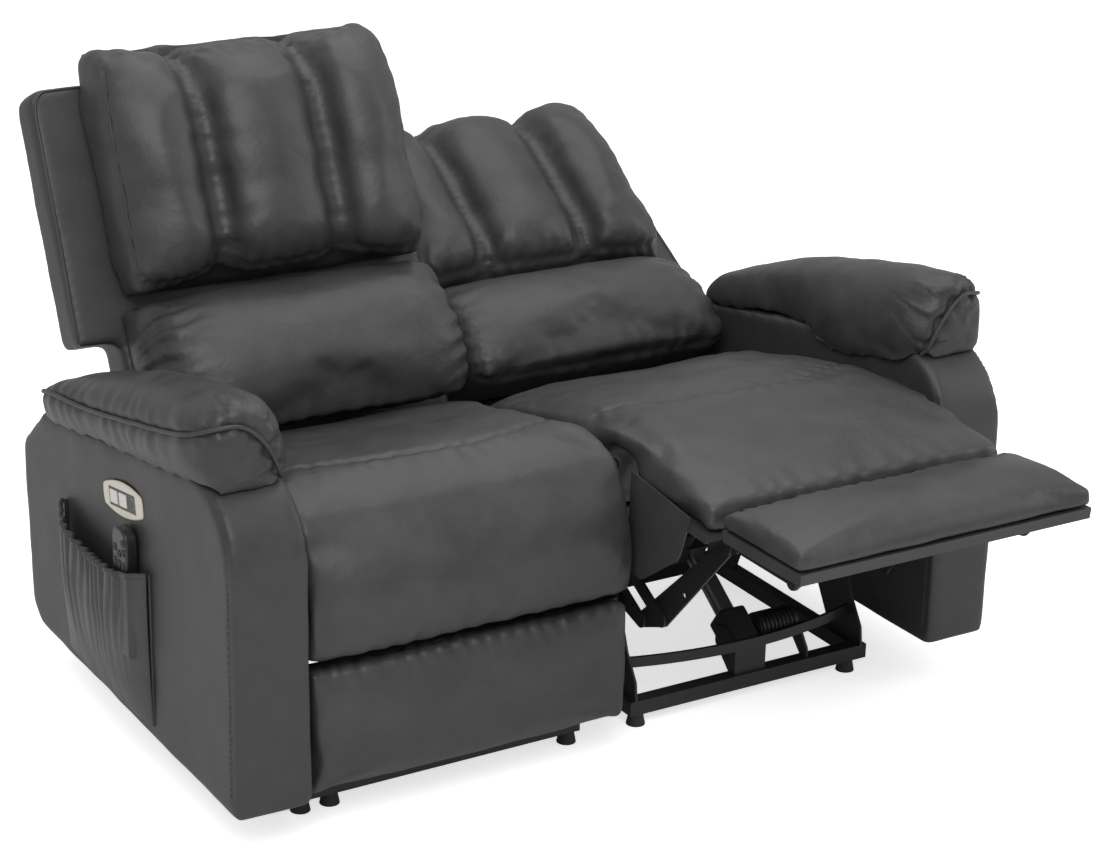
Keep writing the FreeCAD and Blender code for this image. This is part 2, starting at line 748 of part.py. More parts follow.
def drive_links():
    """The rear pair of cranks, welded to the tube that the drive block pushes."""
    x0, x1 = layer_x(1)
    arm = crank_arm()
    crank = hull([DRIVE, DRIVE_END, arm], LINK_HALF, x0, x1)
    crank = drilled(crank, DRIVE, x0, x1)
    crank = crank.fuse(rivet(DRIVE_END, x0, layer_x(2)[0] - 0.3))
    tube = rod(arm, DRIVE_TUBE_R, -x0, x0)
    return fused(both_sides(crank) + [tube])


def coupler_plates():
    """The plates that the cranks carry; each one keeps level as it swings forward."""
    x0, x1 = layer_x(2)
    plate = hull([HANGER, LIFT_END, DRIVE_END], LINK_HALF, x0, x1)
    plate = plate.fuse(hull([HANGER, CONTROL], LINK_HALF, x0, x1))
    window = [((HANGER[0] + LIFT_END[0] * 2) / 3, (HANGER[1] + LIFT_END[1] * 2) / 3)]
    plate = plate.removeSplitter()
    for point in (LIFT_END, DRIVE_END, HANGER):
        plate = drilled(plate, point, x0, x1)
    plate = plate.cut(rod(window[0], 5, x0 - 1, x1 + 1))
    plate = plate.fuse(rivet(CONTROL, x0, layer_x(3)[0] - 0.3))
    return Part.makeCompound(both_sides(plate))


def control_links():
    """The slim links that tilt the footrest; their far pins have play in the footrest brackets."""
    x0, x1 = layer_x(3)
    link = hull([CONTROL, CONTROL_FAR], LINK_HALF - 2, x0, x1)
    link = drilled(link, CONTROL, x0, x1)
    outer = layer_x(2)[1]
    pin = rod(CONTROL_FAR, PIVOT_R, x1, outer + 0.6)
    head = rod(CONTROL_FAR, PIVOT_R + CONTROL_PLAY + 3, outer + 0.6, outer + 0.6 + RIVET_RISE)
    link = fused([link, pin, head])
    return Part.makeCompound(both_sides(link))


def bracket(origin, angle, face, run0, run1, pivot, layer):
    """An angle bracket: a flange screwed to a board and an eared web that carries a pivot."""
    x0, x1 = layer_x(layer)
    def at(run, deep, radius=0):
        y, z = along(origin, angle, run, deep)
        return (y, z, radius)
    flange = profile([at(run0, face), at(run1, face), at(run1, face + 3), at(run0, face + 3)], x0, x1 + 22)
    web = profile([at(run0, face), at(run1, face), at(run1, face + 6), at(run0, face + 6)], x0, x1)
    ear = rod(pivot, LINK_HALF, x0, x1)
    middle = (run0 + run1) / 2
    neck = []
    for run in (run0 + 4, run1 - 4):
        neck.append(at(run, face + 3))
    foot0 = along(origin, angle, middle + LINK_HALF, 0)
    foot1 = along(origin, angle, middle - LINK_HALF, 0)
    shift = (pivot[0] - (foot0[0] + foot1[0]) / 2, pivot[1] - (foot0[1] + foot1[1]) / 2)
    neck.append((foot0[0] + shift[0], foot0[1] + shift[1], 0))
    neck.append((foot1[0] + shift[0], foot1[1] + shift[1], 0))
    throat = profile(neck, x0, x1)
    return fused([flange, web, throat, ear])


def chaise_brackets():
    """Brackets on the chaise board that hang on the coupler plates."""
    face = CHAISE_PAD_DEEP + BOARD_THICK
    x0, x1 = layer_x(1)
    shape = bracket(HINGE, CHAISE_CLOSED, face, HANGER_ALONG - 42, HANGER_ALONG + 24, HANGER, 1)
    shape = shape.fuse(rod(HANGER, PIVOT_R, x0, layer_x(2)[0]))
    return Part.makeCompound(both_sides(shape))


def footrest_brackets():
    """Brackets on the footrest board, each with a roomy hole for the control link's pin."""
    face = FOOT_PAD_DEEP + FOOT_BOARD_THICK
    x0, x1 = layer_x(2)
    shape = bracket(CREASE, FOOT_CLOSED, face, CONTROL_ALONG - 38, CONTROL_ALONG + 38, CONTROL_FAR, 2)
    shape = drilled(shape, CONTROL_FAR, x0, x1, CONTROL_PLAY)
    return Part.makeCompound(both_sides(shape))


def side_plate():
    """The stamped plate on the base that carries every fixed pivot of one side."""
    x0, x1 = layer_x(0)
    foot = FOOT_HEIGHT + BASE_TUBE
    corners = [
        (BASE_FRONT, foot, 0),
        (BASE_FRONT + 4, BAR_Z - 20, 14),
        (BAR_Y + BAR_BOW - 12, BAR_Z + 24, 20),
        (LIFT[0] - 34, LIFT[1] - 30, 30),
        (LIFT[0] - 22, LIFT[1] + 24, 10),
        (DRIVE[0] + 60, BOX_BOTTOM + 30, 20),
        (BACK_PIVOT_Y - 40, BOX_BOTTOM + 30, 20),
        (BACK_PIVOT_Y + 20, BACK_PIVOT_Z + 20, 16),
        (BACK_PIVOT_Y + 20, BACK_PIVOT_Z - 14, 12),
        (BACK_PIVOT_Y - 6, BACK_PIVOT_Z - 34, 14),
        (BACK_PIVOT_Y - 8, BACK_PIVOT_Z - 66, 20),
        (BASE_REAR - 24, 170, 40),
        (BASE_REAR, foot + 36, 14),
        (BASE_REAR, foot, 0),
        (BASE_REAR - 90, foot, 0),
        (BASE_REAR - 150, 190, 60),
        (BASE_FRONT + 150, 150, 60),
        (BASE_FRONT + 90, foot, 0),
    ]
    plate = profile(corners, x0, x1)
    plate = plate.cut(block(x0 - 1, x1 + 1, BOX_REAR - BOX_BOARD - 4, BOX_REAR + 4, BOX_BOTTOM - 4, BOX_TOP))
    for y in (LIFT[0] + 20, BACK_PIVOT_Y - 100):
        tab = block(x1, BOX_HALF - BOX_BOARD, y, y + 40, BOX_BOTTOM + 6, BOX_BOTTOM + 9)
        flank = BOX_HALF - BOX_BOARD
        ear = block(flank - 3, flank, y, y + 40, BOX_BOTTOM + 6, BOX_BOTTOM + 28)
        plate = plate.fuse([tab, ear])
    for point in (LIFT, DRIVE):
        plate = plate.fuse(rivet(point, x0, layer_x(1)[0] - 0.3))
    plate = plate.fuse(rod(BACK_PIVOT, PIVOT_R + 2, x1, x1 + LAYER + STEEL - 3.6))
    plate = plate.fuse(rod(BACK_PIVOT, RIVET_HEAD + 2, x1 + LAYER + 0.4, x1 + LAYER + 2.4))
    return plate


def side_plates():
    plates = []
    for side in (-1, 1):
        for plate in both_sides(side_plate()):
            plates.append(at_seat(plate, side))
    return Part.makeCompound(plates)


def base_frame(side):
    """A ring of square tube that runs on under the arm, and the flat arched bar that ties the plates."""
    low = FOOT_HEIGHT
    high = FOOT_HEIGHT + BASE_TUBE
    ring = block(-BASE_HALF, BASE_HALF, BASE_FRONT, BASE_REAR, low, high)
    ring = ring.cut(block(
        -BASE_HALF + BASE_TUBE, BASE_HALF - BASE_TUBE,
        BASE_FRONT + BASE_TUBE, BASE_REAR - BASE_TUBE, low - 1, high + 1))
    if side < 0:
        reach = block(BASE_HALF, BASE_HALF + BASE_REACH, BASE_FRONT, BASE_FRONT + BASE_TUBE, low, high)
        ring = ring.fuse(reach)
    reach = PLATE_X
    half = BAR_THICK / 2
    front = Part.Wire([
        arc(V(-reach, BAR_Y + BAR_BOW - half, 0), V(0, BAR_Y - half, 0), V(reach, BAR_Y + BAR_BOW - half, 0)),
        line(V(reach, BAR_Y + BAR_BOW - half, 0), V(reach, BAR_Y + BAR_BOW + half, 0)),
        arc(V(reach, BAR_Y + BAR_BOW + half, 0), V(0, BAR_Y + half, 0), V(-reach, BAR_Y + BAR_BOW + half, 0)),
        line(V(-reach, BAR_Y + BAR_BOW + half, 0), V(-reach, BAR_Y + BAR_BOW - half, 0)),
    ])
    bar = Part.Face(front).extrude(V(0, 0, BAR_HEIGHT))
    bar.translate(V(0, 0, BAR_Z - BAR_HEIGHT / 2))
    return fused([ring, bar, motor_fork()])


def base_frames():
    """Both seats' rings with their bars and the forks that hold the gear motors."""
    return Part.makeCompound([at_seat(base_frame(side), side) for side in (-1, 1)])


def rail_point(run):
    """A (y, z) point on the guide rail's middle line, at a distance along Y."""
    closed = crank_arm()
    slope = math.radians(RAIL_SLOPE)
    base = (closed[0] + RAIL_OFFSET * math.sin(slope), closed[1] - RAIL_OFFSET * math.cos(slope))
    return (run, base[1] + (run - base[0]) * math.tan(slope))


def motor_place():
    """The (y, z) middle of the gearbox and motor."""
    return rail_point(RAIL_FRONT - GEARBOX_AHEAD)


def motor_fork():
    """Steel cheeks on the front rail and the bowed bar that hold the gearbox and the motor's far end."""
    y, z = motor_place()
    foot = FOOT_HEIGHT + BASE_TUBE
    cheeks = []
    for x in (-31, 27):
        cheek = profile([
            (BASE_FRONT + 6, foot, 0), (BASE_FRONT + 6, BAR_Z + 8, 6), (y - 12, z + 22, 8),
            (y + 16, z + 16, 8), (y + 16, z - 16, 8), (BASE_FRONT + BASE_TUBE, foot, 0),
        ], x, x + 4)
        cheeks.append(cheek.cut(rod((y, z), 9.1, x - 1, x + 5)))
    end = MOTOR_START + MOTOR_LENGTH + 8
    prop = profile([
        (BASE_FRONT + 6, foot, 0), (BASE_FRONT + 6, foot + 16, 5), (y - 12, z + 6, 8), (y + 14, z + 14, 10),
        (y + 14, z - 14, 10), (BASE_FRONT + BASE_TUBE, foot, 0),
    ], end, end + 4)
    prop = prop.cut(rod((y, z), 8.1, end - 1, end + 5))
    front = block(-31, 31, BASE_FRONT + 6, BASE_FRONT + 10, foot, BAR_Z + 4)
    return fused(cheeks + [prop, front])


def tilted(shape, y):
    """Turns a piece that is square to the floor into line with the guide rail, about its point at y."""
    return swing(shape, rail_point(y), -RAIL_SLOPE)


def drive_motor():
    """Gearbox in the fork, with the ribbed motor across it."""
    centre = motor_place()
    y = centre[0]
    gearbox = block(-26.5, 26.5, y - GEARBOX_FRONT, y + GEARBOX_BACK, centre[1] - 24, centre[1] + 24)
    gearbox = gearbox.makeFillet(6, gearbox.Edges)
    neck = rod(centre, 9, 26.5, MOTOR_START)
    step = MOTOR_LENGTH / (2 * MOTOR_RIBS)
    low = MOTOR_R - 2.5
    points = [(MOTOR_START, 0), (MOTOR_START, low)]
    for i in range(MOTOR_RIBS):
        x = MOTOR_START + 2 * i * step
        points += [(x + step, low), (x + step, MOTOR_R), (x + 2 * step, MOTOR_R), (x + 2 * step, low)]
    end = MOTOR_START + MOTOR_LENGTH + 6
    points += [(end, low), (end, 8), (end + 6, 8), (end + 6, 0)]
    ring = [V(a, y, centre[1] + r) for a, r in points]
    can = Part.Face(Part.makePolygon(ring + [ring[0]])).revolve(V(0, y, centre[1]), V(1, 0, 0), 360)
    gearbox = tilted(gearbox, y)
    boss = rod(centre, 9, -31, -26)
    return fused([gearbox, neck, can, boss])


def drive_rail():
    """The aluminium guide rail behind the gearbox, with a groove down each side."""
    front = RAIL_FRONT
    centre = rail_point(front)
    half = RAIL_SIDE / 2
    bar = block(-half, half, front, RAIL_BACK, centre[1] - half, centre[1] + half)
    for x in (-half - 1, half - 3):
        bar = bar.cut(block(x, x + 4, front - 1, RAIL_BACK + 1, centre[1] - 4, centre[1] + 4))
    return tilted(bar, front).cut(drive_motor())


def drive_block():
    """The block on the rail; the tube runs through the slots of its two cheeks."""
    tube = crank_arm()
    y = tube[0] + RAIL_OFFSET * math.sin(math.radians(RAIL_SLOPE))
    centre = rail_point(y)
    half = RAIL_SIDE / 2
    body = block(-half - 9, half + 9, y - 26, y + 26, centre[1] - half - 8, centre[1] + half + 7)
    bore = block(-half - 0.1, half + 0.1, y - 30, y + 30, centre[1] - half - 0.1, centre[1] + half + 0.1)
    body = body.cut(bore)
    slot = DRIVE_TUBE_R + YOKE_PLAY
    sagitta = DRIVE_ARM * (1 - math.cos(math.radians(CHAISE_SWING / 2)))
    high = centre[1] + RAIL_OFFSET
    cheeks = []
    for x in (-half - 9, half + 1):
        cheek = block(x, x + 8, y - slot - 9, y + slot + 9, centre[1], high + slot + 8)
        gap = block(x - 1, x + 9, y - slot, y + slot, high - sagitta, high)
        ends = [rod((y, end), slot, x - 1, x + 9) for end in (high, high - sagitta)]
        cheeks.append(cheek.cut([gap, bore] + ends))
    return tilted(fused([body] + cheeks), y)


def drive_stroke():
    """How far the block travels along the rail, and its direction, towards the front."""
    reach = 2 * DRIVE_ARM * math.sin(math.radians(CHAISE_SWING / 2))
    slope = math.radians(RAIL_SLOPE)
    return reach, (0, -math.cos(slope), -math.sin(slope))


def base_feet():
    """Rubber feet under the corners of both rings."""
    feet = []
    for side in (-1, 1):
        for x in (-BASE_HALF + FOOT_R + 2, BASE_HALF - FOOT_INSET):
            for y in (BASE_FRONT + BASE_TUBE / 2, BASE_REAR - BASE_TUBE / 2):
                foot = Part.makeCone(FOOT_R, FOOT_R - 4, FOOT_HEIGHT, V(x, y, 0), V(0, 0, 1))
                feet.append(at_seat(foot, side))
    end = V(BASE_HALF + FOOT_R, BASE_FRONT + BASE_TUBE / 2, 0)
    feet.append(at_seat(Part.makeCone(FOOT_R, FOOT_R - 4, FOOT_HEIGHT, end, V(0, 0, 1)), -1))
    return Part.makeCompound(feet)


def seat_box():
    """The timber ring that carries the springs and the seat cushion."""
    ring = block(-BOX_HALF, BOX_HALF, BOX_FRONT, BOX_REAR, BOX_BOTTOM, BOX_TOP)
    return ring.cut(block(
        -BOX_HALF + BOX_BOARD, BOX_HALF - BOX_BOARD, BOX_FRONT + BOX_BOARD, BOX_REAR - BOX_BOARD,
        BOX_BOTTOM - 1, BOX_TOP + 1))


def spring_wire(x):
    """A sinuous spring: one flat zigzag wire from the front board to the rear board."""
    run = (BOX_REAR - BOX_FRONT - BOX_BOARD) / SPRING_BENDS
    half = SPRING_WIRE / 2
    swing_x = 24
    left = []
    right = []
    for i in range(SPRING_BENDS + 1):
        y = BOX_FRONT + BOX_BOARD / 2 + i * run
        off = swing_x if i % 2 else -swing_x
        if i in (0, SPRING_BENDS):
            off = 0
        left.append(V(x + off - half * 1.6, y, BOX_TOP))
        right.append(V(x + off + half * 1.6, y, BOX_TOP))
    ring = left + right[::-1]
    wire = Part.Face(Part.makePolygon(ring + [ring[0]]))
    return wire.extrude(V(0, 0, SPRING_WIRE))


def seat_springs():
    wires = []
    for side in (-1, 1):
        for i in range(SPRINGS):
            x = (i - (SPRINGS - 1) / 2) * 2 * BOX_HALF / (SPRINGS + 1)
            wires.append(at_seat(spring_wire(x), side))
    return Part.makeCompound(wires)


def dust_covers():
    """Black cloth stapled under the seat boxes."""
    covers = []
    for side in (-1, 1):
        cloth = block(-PLATE_X + 26, PLATE_X - 26, BOX_FRONT, BOX_REAR, BOX_BOTTOM - 1.2, BOX_BOTTOM)
        covers.append(at_seat(cloth, side))
    return Part.makeCompound(covers)


def joining_brackets():
    """Steel brackets that tie each seat box to its arm, and the two boxes to each other."""
    pieces = []
    for side in (-1, 1):
        for y in (BOX_FRONT + 50, BOX_REAR - 90):
            tie = block(BOX_HALF, SEAT_PITCH / 2, y, y + 40, BOX_BOTTOM + 12, BOX_BOTTOM + 16)
            cheek = block(BOX_HALF, BOX_HALF + 3, y, y + 40, BOX_BOTTOM + 4, BOX_TOP - 6)
            pieces.append(at_seat(tie.fuse(cheek), side))
    for y in (BOX_FRONT + 50, BOX_REAR - 90):
        half = SEAT_X - BOX_HALF
        pieces.append(block(-half, half, y, y + 40, BOX_BOTTOM + 12, BOX_BOTTOM + 16))
    return Part.makeCompound(pieces)


def shell_front(v):
    """How far the face of the back shell lies behind the pivot at a height on the back."""
    share = (v - SHELL_BOTTOM) / (SHELL_TOP - SHELL_BOTTOM)
    return SHELL_FRONT_LOW + (SHELL_FRONT_TOP - SHELL_FRONT_LOW) * share


def back_profile(corners, x0, x1):
    placed = []
    for u, v, radius in corners:
        y, z = back_point(u, v)
        placed.append((y, z, radius))
    return profile(placed, x0, x1)


def blade(grow):
    """Outline of a back bracket: an eye on the pivot, a step back, and a blade up into the shell."""
    return [
        (-15 - grow, -15, 12), (30, -15, 20), (72, -22 - grow, 10),
        (102 + grow, -16, 6), (102 + grow, 200 + grow, 8), (68 - grow, 200 + grow, 8),
        (68 - grow, 26, 20), (20, 15, 12), (-15 - grow, 15, 12),
    ]


def back_brackets():
    """Steel blades that carry the back on its pivots and slide up into the shell."""
    x0 = PLATE_X + LAYER
    shape = back_profile(blade(0), x0, x0 + STEEL)
    shape = drilled(shape, BACK_PIVOT, x0, x0 + STEEL, 2 + PIVOT_PLAY)
    return Part.makeCompound(both_sides(shape))


def back_board():
    """The tapered part of the back that stands between the arms."""
    inner = SEAT_PITCH / 2 - SHELL_GAP
    return back_profile([
        (shell_front(SHELL_BOTTOM), SHELL_BOTTOM, 6),
        (shell_front(SHELL_TOP), SHELL_TOP, 14),
        (SHELL_REAR, SHELL_TOP, 24),
        (SHELL_REAR, SHELL_BOTTOM, 20),
    ], -inner, inner)


def back_shell():
    """The upholstered back: a tapered board between the arms, with a wing above and behind the arm."""
    inner = SEAT_PITCH / 2 - SHELL_GAP
    board = back_board()
    wing_corners = [
        (shell_front(WING_BOTTOM), WING_BOTTOM, 6),
        (shell_front(SHELL_TOP), SHELL_TOP, 14),
        (SHELL_REAR, SHELL_TOP, 24),
        (SHELL_REAR, WING_BOTTOM, 20),
    ]
    wing = back_profile(wing_corners, inner - 20, inner + WING_REACH)
    shell = board.fuse(wing).removeSplitter()
    reach = inner + WING_REACH
    low = SHELL_TOP - WING_CORNER
    high = SHELL_TOP + 9
    around = [(0, low, 0), (0, high, 0), (300, high, 0), (300, low, 0)]
    corner = back_profile(around, reach - WING_CORNER, reach + 1)
    y, z = back_point(0, low)
    lean = math.radians(BACK_LEAN)
    through = V(0, -math.cos(lean), math.sin(lean))
    start = V(reach - WING_CORNER, y, z) - through * 450
    shell = shell.cut(corner.cut(Part.makeCylinder(WING_CORNER, 900, start, through)))
    x0 = PLATE_X + LAYER
    slot = back_profile(blade(0.4), x0 - 0.4, x0 + STEEL + 0.4)
    return shell.cut(slot.fuse(slot.mirror(V(0, 0, 0), V(1, 0, 0))))


def lumbar_section(x, share):
    """Section of the lumbar cushion: a full roll in front of a flat back."""
    low = LUMBAR_BOTTOM
    high = LUMBAR_TOP
    def at(u, v):
        y, z = back_point(u, v)
        return V(x, y, z)
    face = shell_front(low + 60) - 0.5
    a = at(face, low + 60)
    b = at(shell_front(high) - 0.5, high - 4)
    c = at(shell_front(high) - 22 - (shell_front(high) + 4) * share, high - 14 * (1 - share))
    d = at(-LUMBAR_CREST * (0.25 + 0.75 * share), low + (high - low) * 0.46)
    e = at(-96 * (0.4 + 0.6 * share), low + 6 + 22 * (1 - share))
    f = at(-10, low + 34)
    return Part.Wire([line(a, b), line(b, c), arc(c, d, e), line(e, f), line(f, a)])


def lumbar_cushion():
    """The roll that fills the small of the back, fullest in the middle and drawn in at its ends."""
    half = LUMBAR_HALF
    sections = []
    for reach, share in ((-1, 0.1), (-0.93, 0.58), (-0.8, 0.85), (-0.5, 0.97), (0, 1.0),
                         (0.5, 0.97), (0.8, 0.85), (0.93, 0.58), (1, 0.1)):
        sections.append(lumbar_section(half * reach, share))
    return Part.makeLoft(sections, True, False)


def cushion_section(v, crest, depth, half, face):
    """Cross-section of the upper cushion at a height: flat behind, one bow for each channel in front."""
    def at(x, u):
        y, z = back_point(u, v)
        return V(CUSHION_SHIFT + x, y, z)
    seam = CHANNEL_MIDDLE / 2 * half / CUSHION_HALF
    marks = [half, seam, -seam, -half]
    valley = -crest + depth
    edges = [line(at(-half, face), at(half, face)), line(at(half, face), at(half, valley))]
    for x1, x0 in zip(marks, marks[1:]):
        edges.append(arc(at(x1, valley), at((x0 + x1) / 2, -crest), at(x0, valley)))
    edges.append(line(at(-half, valley), at(-half, face)))
    return Part.Wire(edges)


def back_cushion():
    """The upper cushion, sewn into upright channels, rolled over the top of the shell."""
    low = LUMBAR_TOP + CUSHION_SPLIT
    half = CUSHION_HALF
    crest = CUSHION_CREST
    rows = [
        (low, crest * 0.3, 20, half - 10),
        (low + 24, crest * 0.78, 36, half - 3),
        (low + 80, crest * 0.98, 46, half),
        (low + 210, crest, 50, half),
        (CUSHION_TOP - 90, crest * 0.8, 46, half),
        (CUSHION_TOP - 30, crest * 0.42, 36, half - 6),
        (CUSHION_TOP, -18, 16, half - 20),
    ]
    sections = []
    for v, front, depth, wide in rows:
        face = shell_front(min(v, SHELL_TOP)) - 0.5
        sections.append(cushion_section(v, front, depth, wide, face))
    return Part.makeLoft(sections, True, False).cut(back_board())


def write(name, shape):
    """Writes one piece, moved so that the origin is on the floor under the middle of the sofa."""
    placed = shape.copy()
    placed.translate(V(0, -ORIGIN_BEHIND_FRONT, 0))
    placed.exportStep("parts/" + name + ".step")


def both(shape):
    """A piece of the right-hand arm and its mirror image on the left-hand arm, as one node."""
    return Part.makeCompound([shape, shape.mirror(V(0, 0, 0), V(1, 0, 0))])


def footrest_pose(shape, share):
    """The footrest's own place when it is out by a share of its travel."""
    return swing(swing(shape, CREASE, FOOT_TILT * share), HINGE, CHAISE_SWING * share)


def carried(shape, share):
    """The coupler plates' place: they shift without turning."""
    moved = shape.copy()
    shift = shift_of_coupler(CHAISE_SWING * share)
    moved.translate(V(0, shift[0], shift[1]))
    return moved


def write_seat(name, side, share, recline, crown):
    """Writes every moving piece of one seat, with its footrest out by share and its back laid back."""
    reach, way = drive_stroke()
    cranked = CHAISE_SWING * share
    poses = {
        "chaise_pad": swing(chaise_pad(crown), HINGE, cranked),
        "chaise_board": swing(chaise_board(), HINGE, cranked),
        "chaise_brackets": swing(chaise_brackets(), HINGE, cranked),
        "chaise_skirts": swing(chaise_skirts(), HINGE, cranked),
        "footrest_pad": footrest_pose(footrest_pad(), share),
        "footrest_board": footrest_pose(footrest_board(), share),
        "footrest_brackets": footrest_pose(footrest_brackets(), share),
        "lift_links": swing(lift_links(), LIFT, cranked),
        "drive_links": swing(drive_links(), DRIVE, cranked),
        "coupler_plates": carried(coupler_plates(), share),
        "control_links": carried(swing(control_links(), CONTROL, (CHAISE_SWING + FOOT_TILT) * share), share),
        "back_shell": swing(back_shell(), BACK_PIVOT, recline),
        "back_cushion": swing(back_cushion(), BACK_PIVOT, recline),
        "lumbar_cushion": swing(lumbar_cushion(), BACK_PIVOT, recline),
        "back_brackets": swing(back_brackets(), BACK_PIVOT, recline),
    }
    pushed = drive_block()
    pushed.translate(V(0, way[1], way[2]) * (reach * share))
    poses["drive_block"] = pushed
    for piece, shape in poses.items():
        write(name + "_" + piece, at_seat(shape, side))
    write(name + "_seat_box", at_seat(seat_box(), side))
    write(name + "_seat_cushion", at_seat(seat_cushion(), side))


def write_arm(name, side):
    case = arm_case()
    pieces = {"arm": case, "arm_pad": arm_pad(case), "side_pocket": side_pocket()}
    close_y, open_y = button_places()
    pieces["close_button"] = panel_button(close_y)
    pieces["open_button"] = panel_button(open_y)
    for piece, shape in pieces.items():
        if side < 0:
            shape = shape.mirror(V(0, 0, 0), V(1, 0, 0))
        write(name + "_" + piece, shape)


def main():
    os.makedirs("parts", exist_ok=True)
    write_arm("left", -1)
    write_arm("right", 1)
    write("panel_bezels", both(panel_bezel()))
    write("panel_inserts", both(panel_insert()))
    write("usb_sockets", both(usb_socket()))
    write("handset_case", handset_case().mirror(V(0, 0, 0), V(1, 0, 0)))
    write("handset_keys", handset_keys().mirror(V(0, 0, 0), V(1, 0, 0)))
    write_seat("left", -1, 0, 0, CHAISE_CROWN_CLOSED)
    write_seat("right", 1, 1, BACK_RECLINE, CHAISE_CROWN_OPEN)
    write("side_plates", side_plates())
    write("base_frames", base_frames())
    write("base_feet", base_feet())
    write("seat_springs", seat_springs())
    write("dust_covers", dust_covers())
    write("joining_brackets", joining_brackets())
    write("drive_motors", Part.makeCompound([at_seat(drive_motor(), side) for side in (-1, 1)]))
    write("drive_rails", Part.makeCompound([at_seat(drive_rail(), side) for side in (-1, 1)]))


main()
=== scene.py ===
import json
import math

import bmesh
import bpy
from mathutils import Matrix, Vector, kdtree, noise
from mathutils.bvhtree import BVHTree


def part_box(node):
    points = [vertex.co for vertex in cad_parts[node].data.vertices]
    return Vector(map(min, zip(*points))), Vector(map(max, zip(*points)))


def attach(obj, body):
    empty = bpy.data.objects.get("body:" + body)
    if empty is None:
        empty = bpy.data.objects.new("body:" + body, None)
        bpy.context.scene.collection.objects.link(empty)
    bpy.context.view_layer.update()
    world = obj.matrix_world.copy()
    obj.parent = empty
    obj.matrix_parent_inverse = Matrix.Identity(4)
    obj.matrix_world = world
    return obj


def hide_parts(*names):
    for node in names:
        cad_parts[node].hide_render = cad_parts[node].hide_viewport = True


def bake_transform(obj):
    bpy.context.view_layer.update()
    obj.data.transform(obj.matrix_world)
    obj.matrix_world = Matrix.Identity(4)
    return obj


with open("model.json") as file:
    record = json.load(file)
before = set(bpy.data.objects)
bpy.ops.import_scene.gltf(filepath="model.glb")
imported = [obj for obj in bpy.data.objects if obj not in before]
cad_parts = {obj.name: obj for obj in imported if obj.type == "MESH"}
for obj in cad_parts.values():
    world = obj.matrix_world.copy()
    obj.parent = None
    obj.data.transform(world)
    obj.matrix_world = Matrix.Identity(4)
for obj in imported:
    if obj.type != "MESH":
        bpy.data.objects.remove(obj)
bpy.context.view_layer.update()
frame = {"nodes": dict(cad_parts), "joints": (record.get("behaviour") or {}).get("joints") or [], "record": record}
nodes = frame["nodes"]
joints = {joint["name"]: joint for joint in frame["joints"]}
scene = bpy.context.scene

# The camera stands in front of the left arm, a little above the backs, and looks down on the seats.
# Its place, turn and lens are those at which the arms, seats and backs fall where the photograph has them.
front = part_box("left_arm")[0].y
camera_place = Vector((-2.139, front - 3.226, 2.018))
camera_yaw = math.radians(-31.286)
camera_pitch = math.radians(-20.567)
camera_roll = math.radians(1.184)
ahead = Vector((
    -math.sin(camera_yaw) * math.cos(camera_pitch),
    math.cos(camera_yaw) * math.cos(camera_pitch),
    math.sin(camera_pitch)))
level = Vector((math.cos(camera_yaw), math.sin(camera_yaw), 0))
over = level.cross(ahead)
rightward = level * math.cos(camera_roll) + over * math.sin(camera_roll)
upward = over * math.cos(camera_roll) - level * math.sin(camera_roll)
camera = bpy.data.objects.new("camera", bpy.data.cameras.new("camera"))
scene.collection.objects.link(camera)
turned = Matrix((rightward, upward, -ahead)).transposed()
camera.matrix_world = Matrix.Translation(camera_place) @ turned.to_4x4()
camera.data.sensor_width = 36
camera.data.lens = 36 * 2714.4 / 1100
scene.camera = camera
scene.view_settings.view_transform = "Standard"

# A plain pale studio floor under the sofa. The camera sees it and the surround as white,
# while the object is lit at a plain level by the surround and three large soft lamps.
bpy.ops.object.select_all(action="DESELECT")
bpy.ops.mesh.primitive_plane_add(size=40, location=(0, 0, -0.0005))
floor = bpy.context.object
floor.name = "floor"
floor_finish = bpy.data.materials.new("studio_floor")
floor_finish.use_nodes = True
floor_finish.node_tree.nodes["Principled BSDF"].inputs["Base Color"].default_value = (0.9, 0.9, 0.9, 1)
floor_finish.node_tree.nodes["Principled BSDF"].inputs["Roughness"].default_value = 0.7
glow = floor_finish.node_tree.nodes["Principled BSDF"]
glow.inputs["Emission Color"].default_value = (1, 1, 1, 1)
watched = floor_finish.node_tree.nodes.new("ShaderNodeLightPath")
haze = floor_finish.node_tree.nodes.new("ShaderNodeMath")
haze.operation = "MULTIPLY"
haze.inputs[1].default_value = 0.66
floor_finish.node_tree.links.new(watched.outputs["Is Camera Ray"], haze.inputs[0])
floor_finish.node_tree.links.new(haze.outputs[0], glow.inputs["Emission Strength"])
floor.data.materials.append(floor_finish)
world = bpy.data.worlds.new("studio")
scene.world = world
world.use_nodes = True
sky = world.node_tree
ray = sky.nodes.new("ShaderNodeLightPath")
seen = sky.nodes.new("ShaderNodeMath")
seen.operation = "MAXIMUM"
lit = sky.nodes.new("ShaderNodeMapRange")
lit.inputs["To Min"].default_value = 0.55
lit.inputs["To Max"].default_value = 1.0
sky.links.new(ray.outputs["Is Camera Ray"], seen.inputs[0])
sky.links.new(ray.outputs["Is Transmission Ray"], seen.inputs[1])
sky.links.new(seen.outputs[0], lit.inputs["Value"])
sky.links.new(lit.outputs[0], sky.nodes["Background"].inputs["Strength"])
sky.nodes["Background"].inputs["Color"].default_value = (1, 1, 1, 1)
lamps = [
    ("key", (-1.7, -2.6, 3.6), 2.6, 95),
    ("top", (0.5, 0.6, 3.6), 3.0, 52),
    ("side", (3.6, -1.6, 2.2), 2.4, 34)]
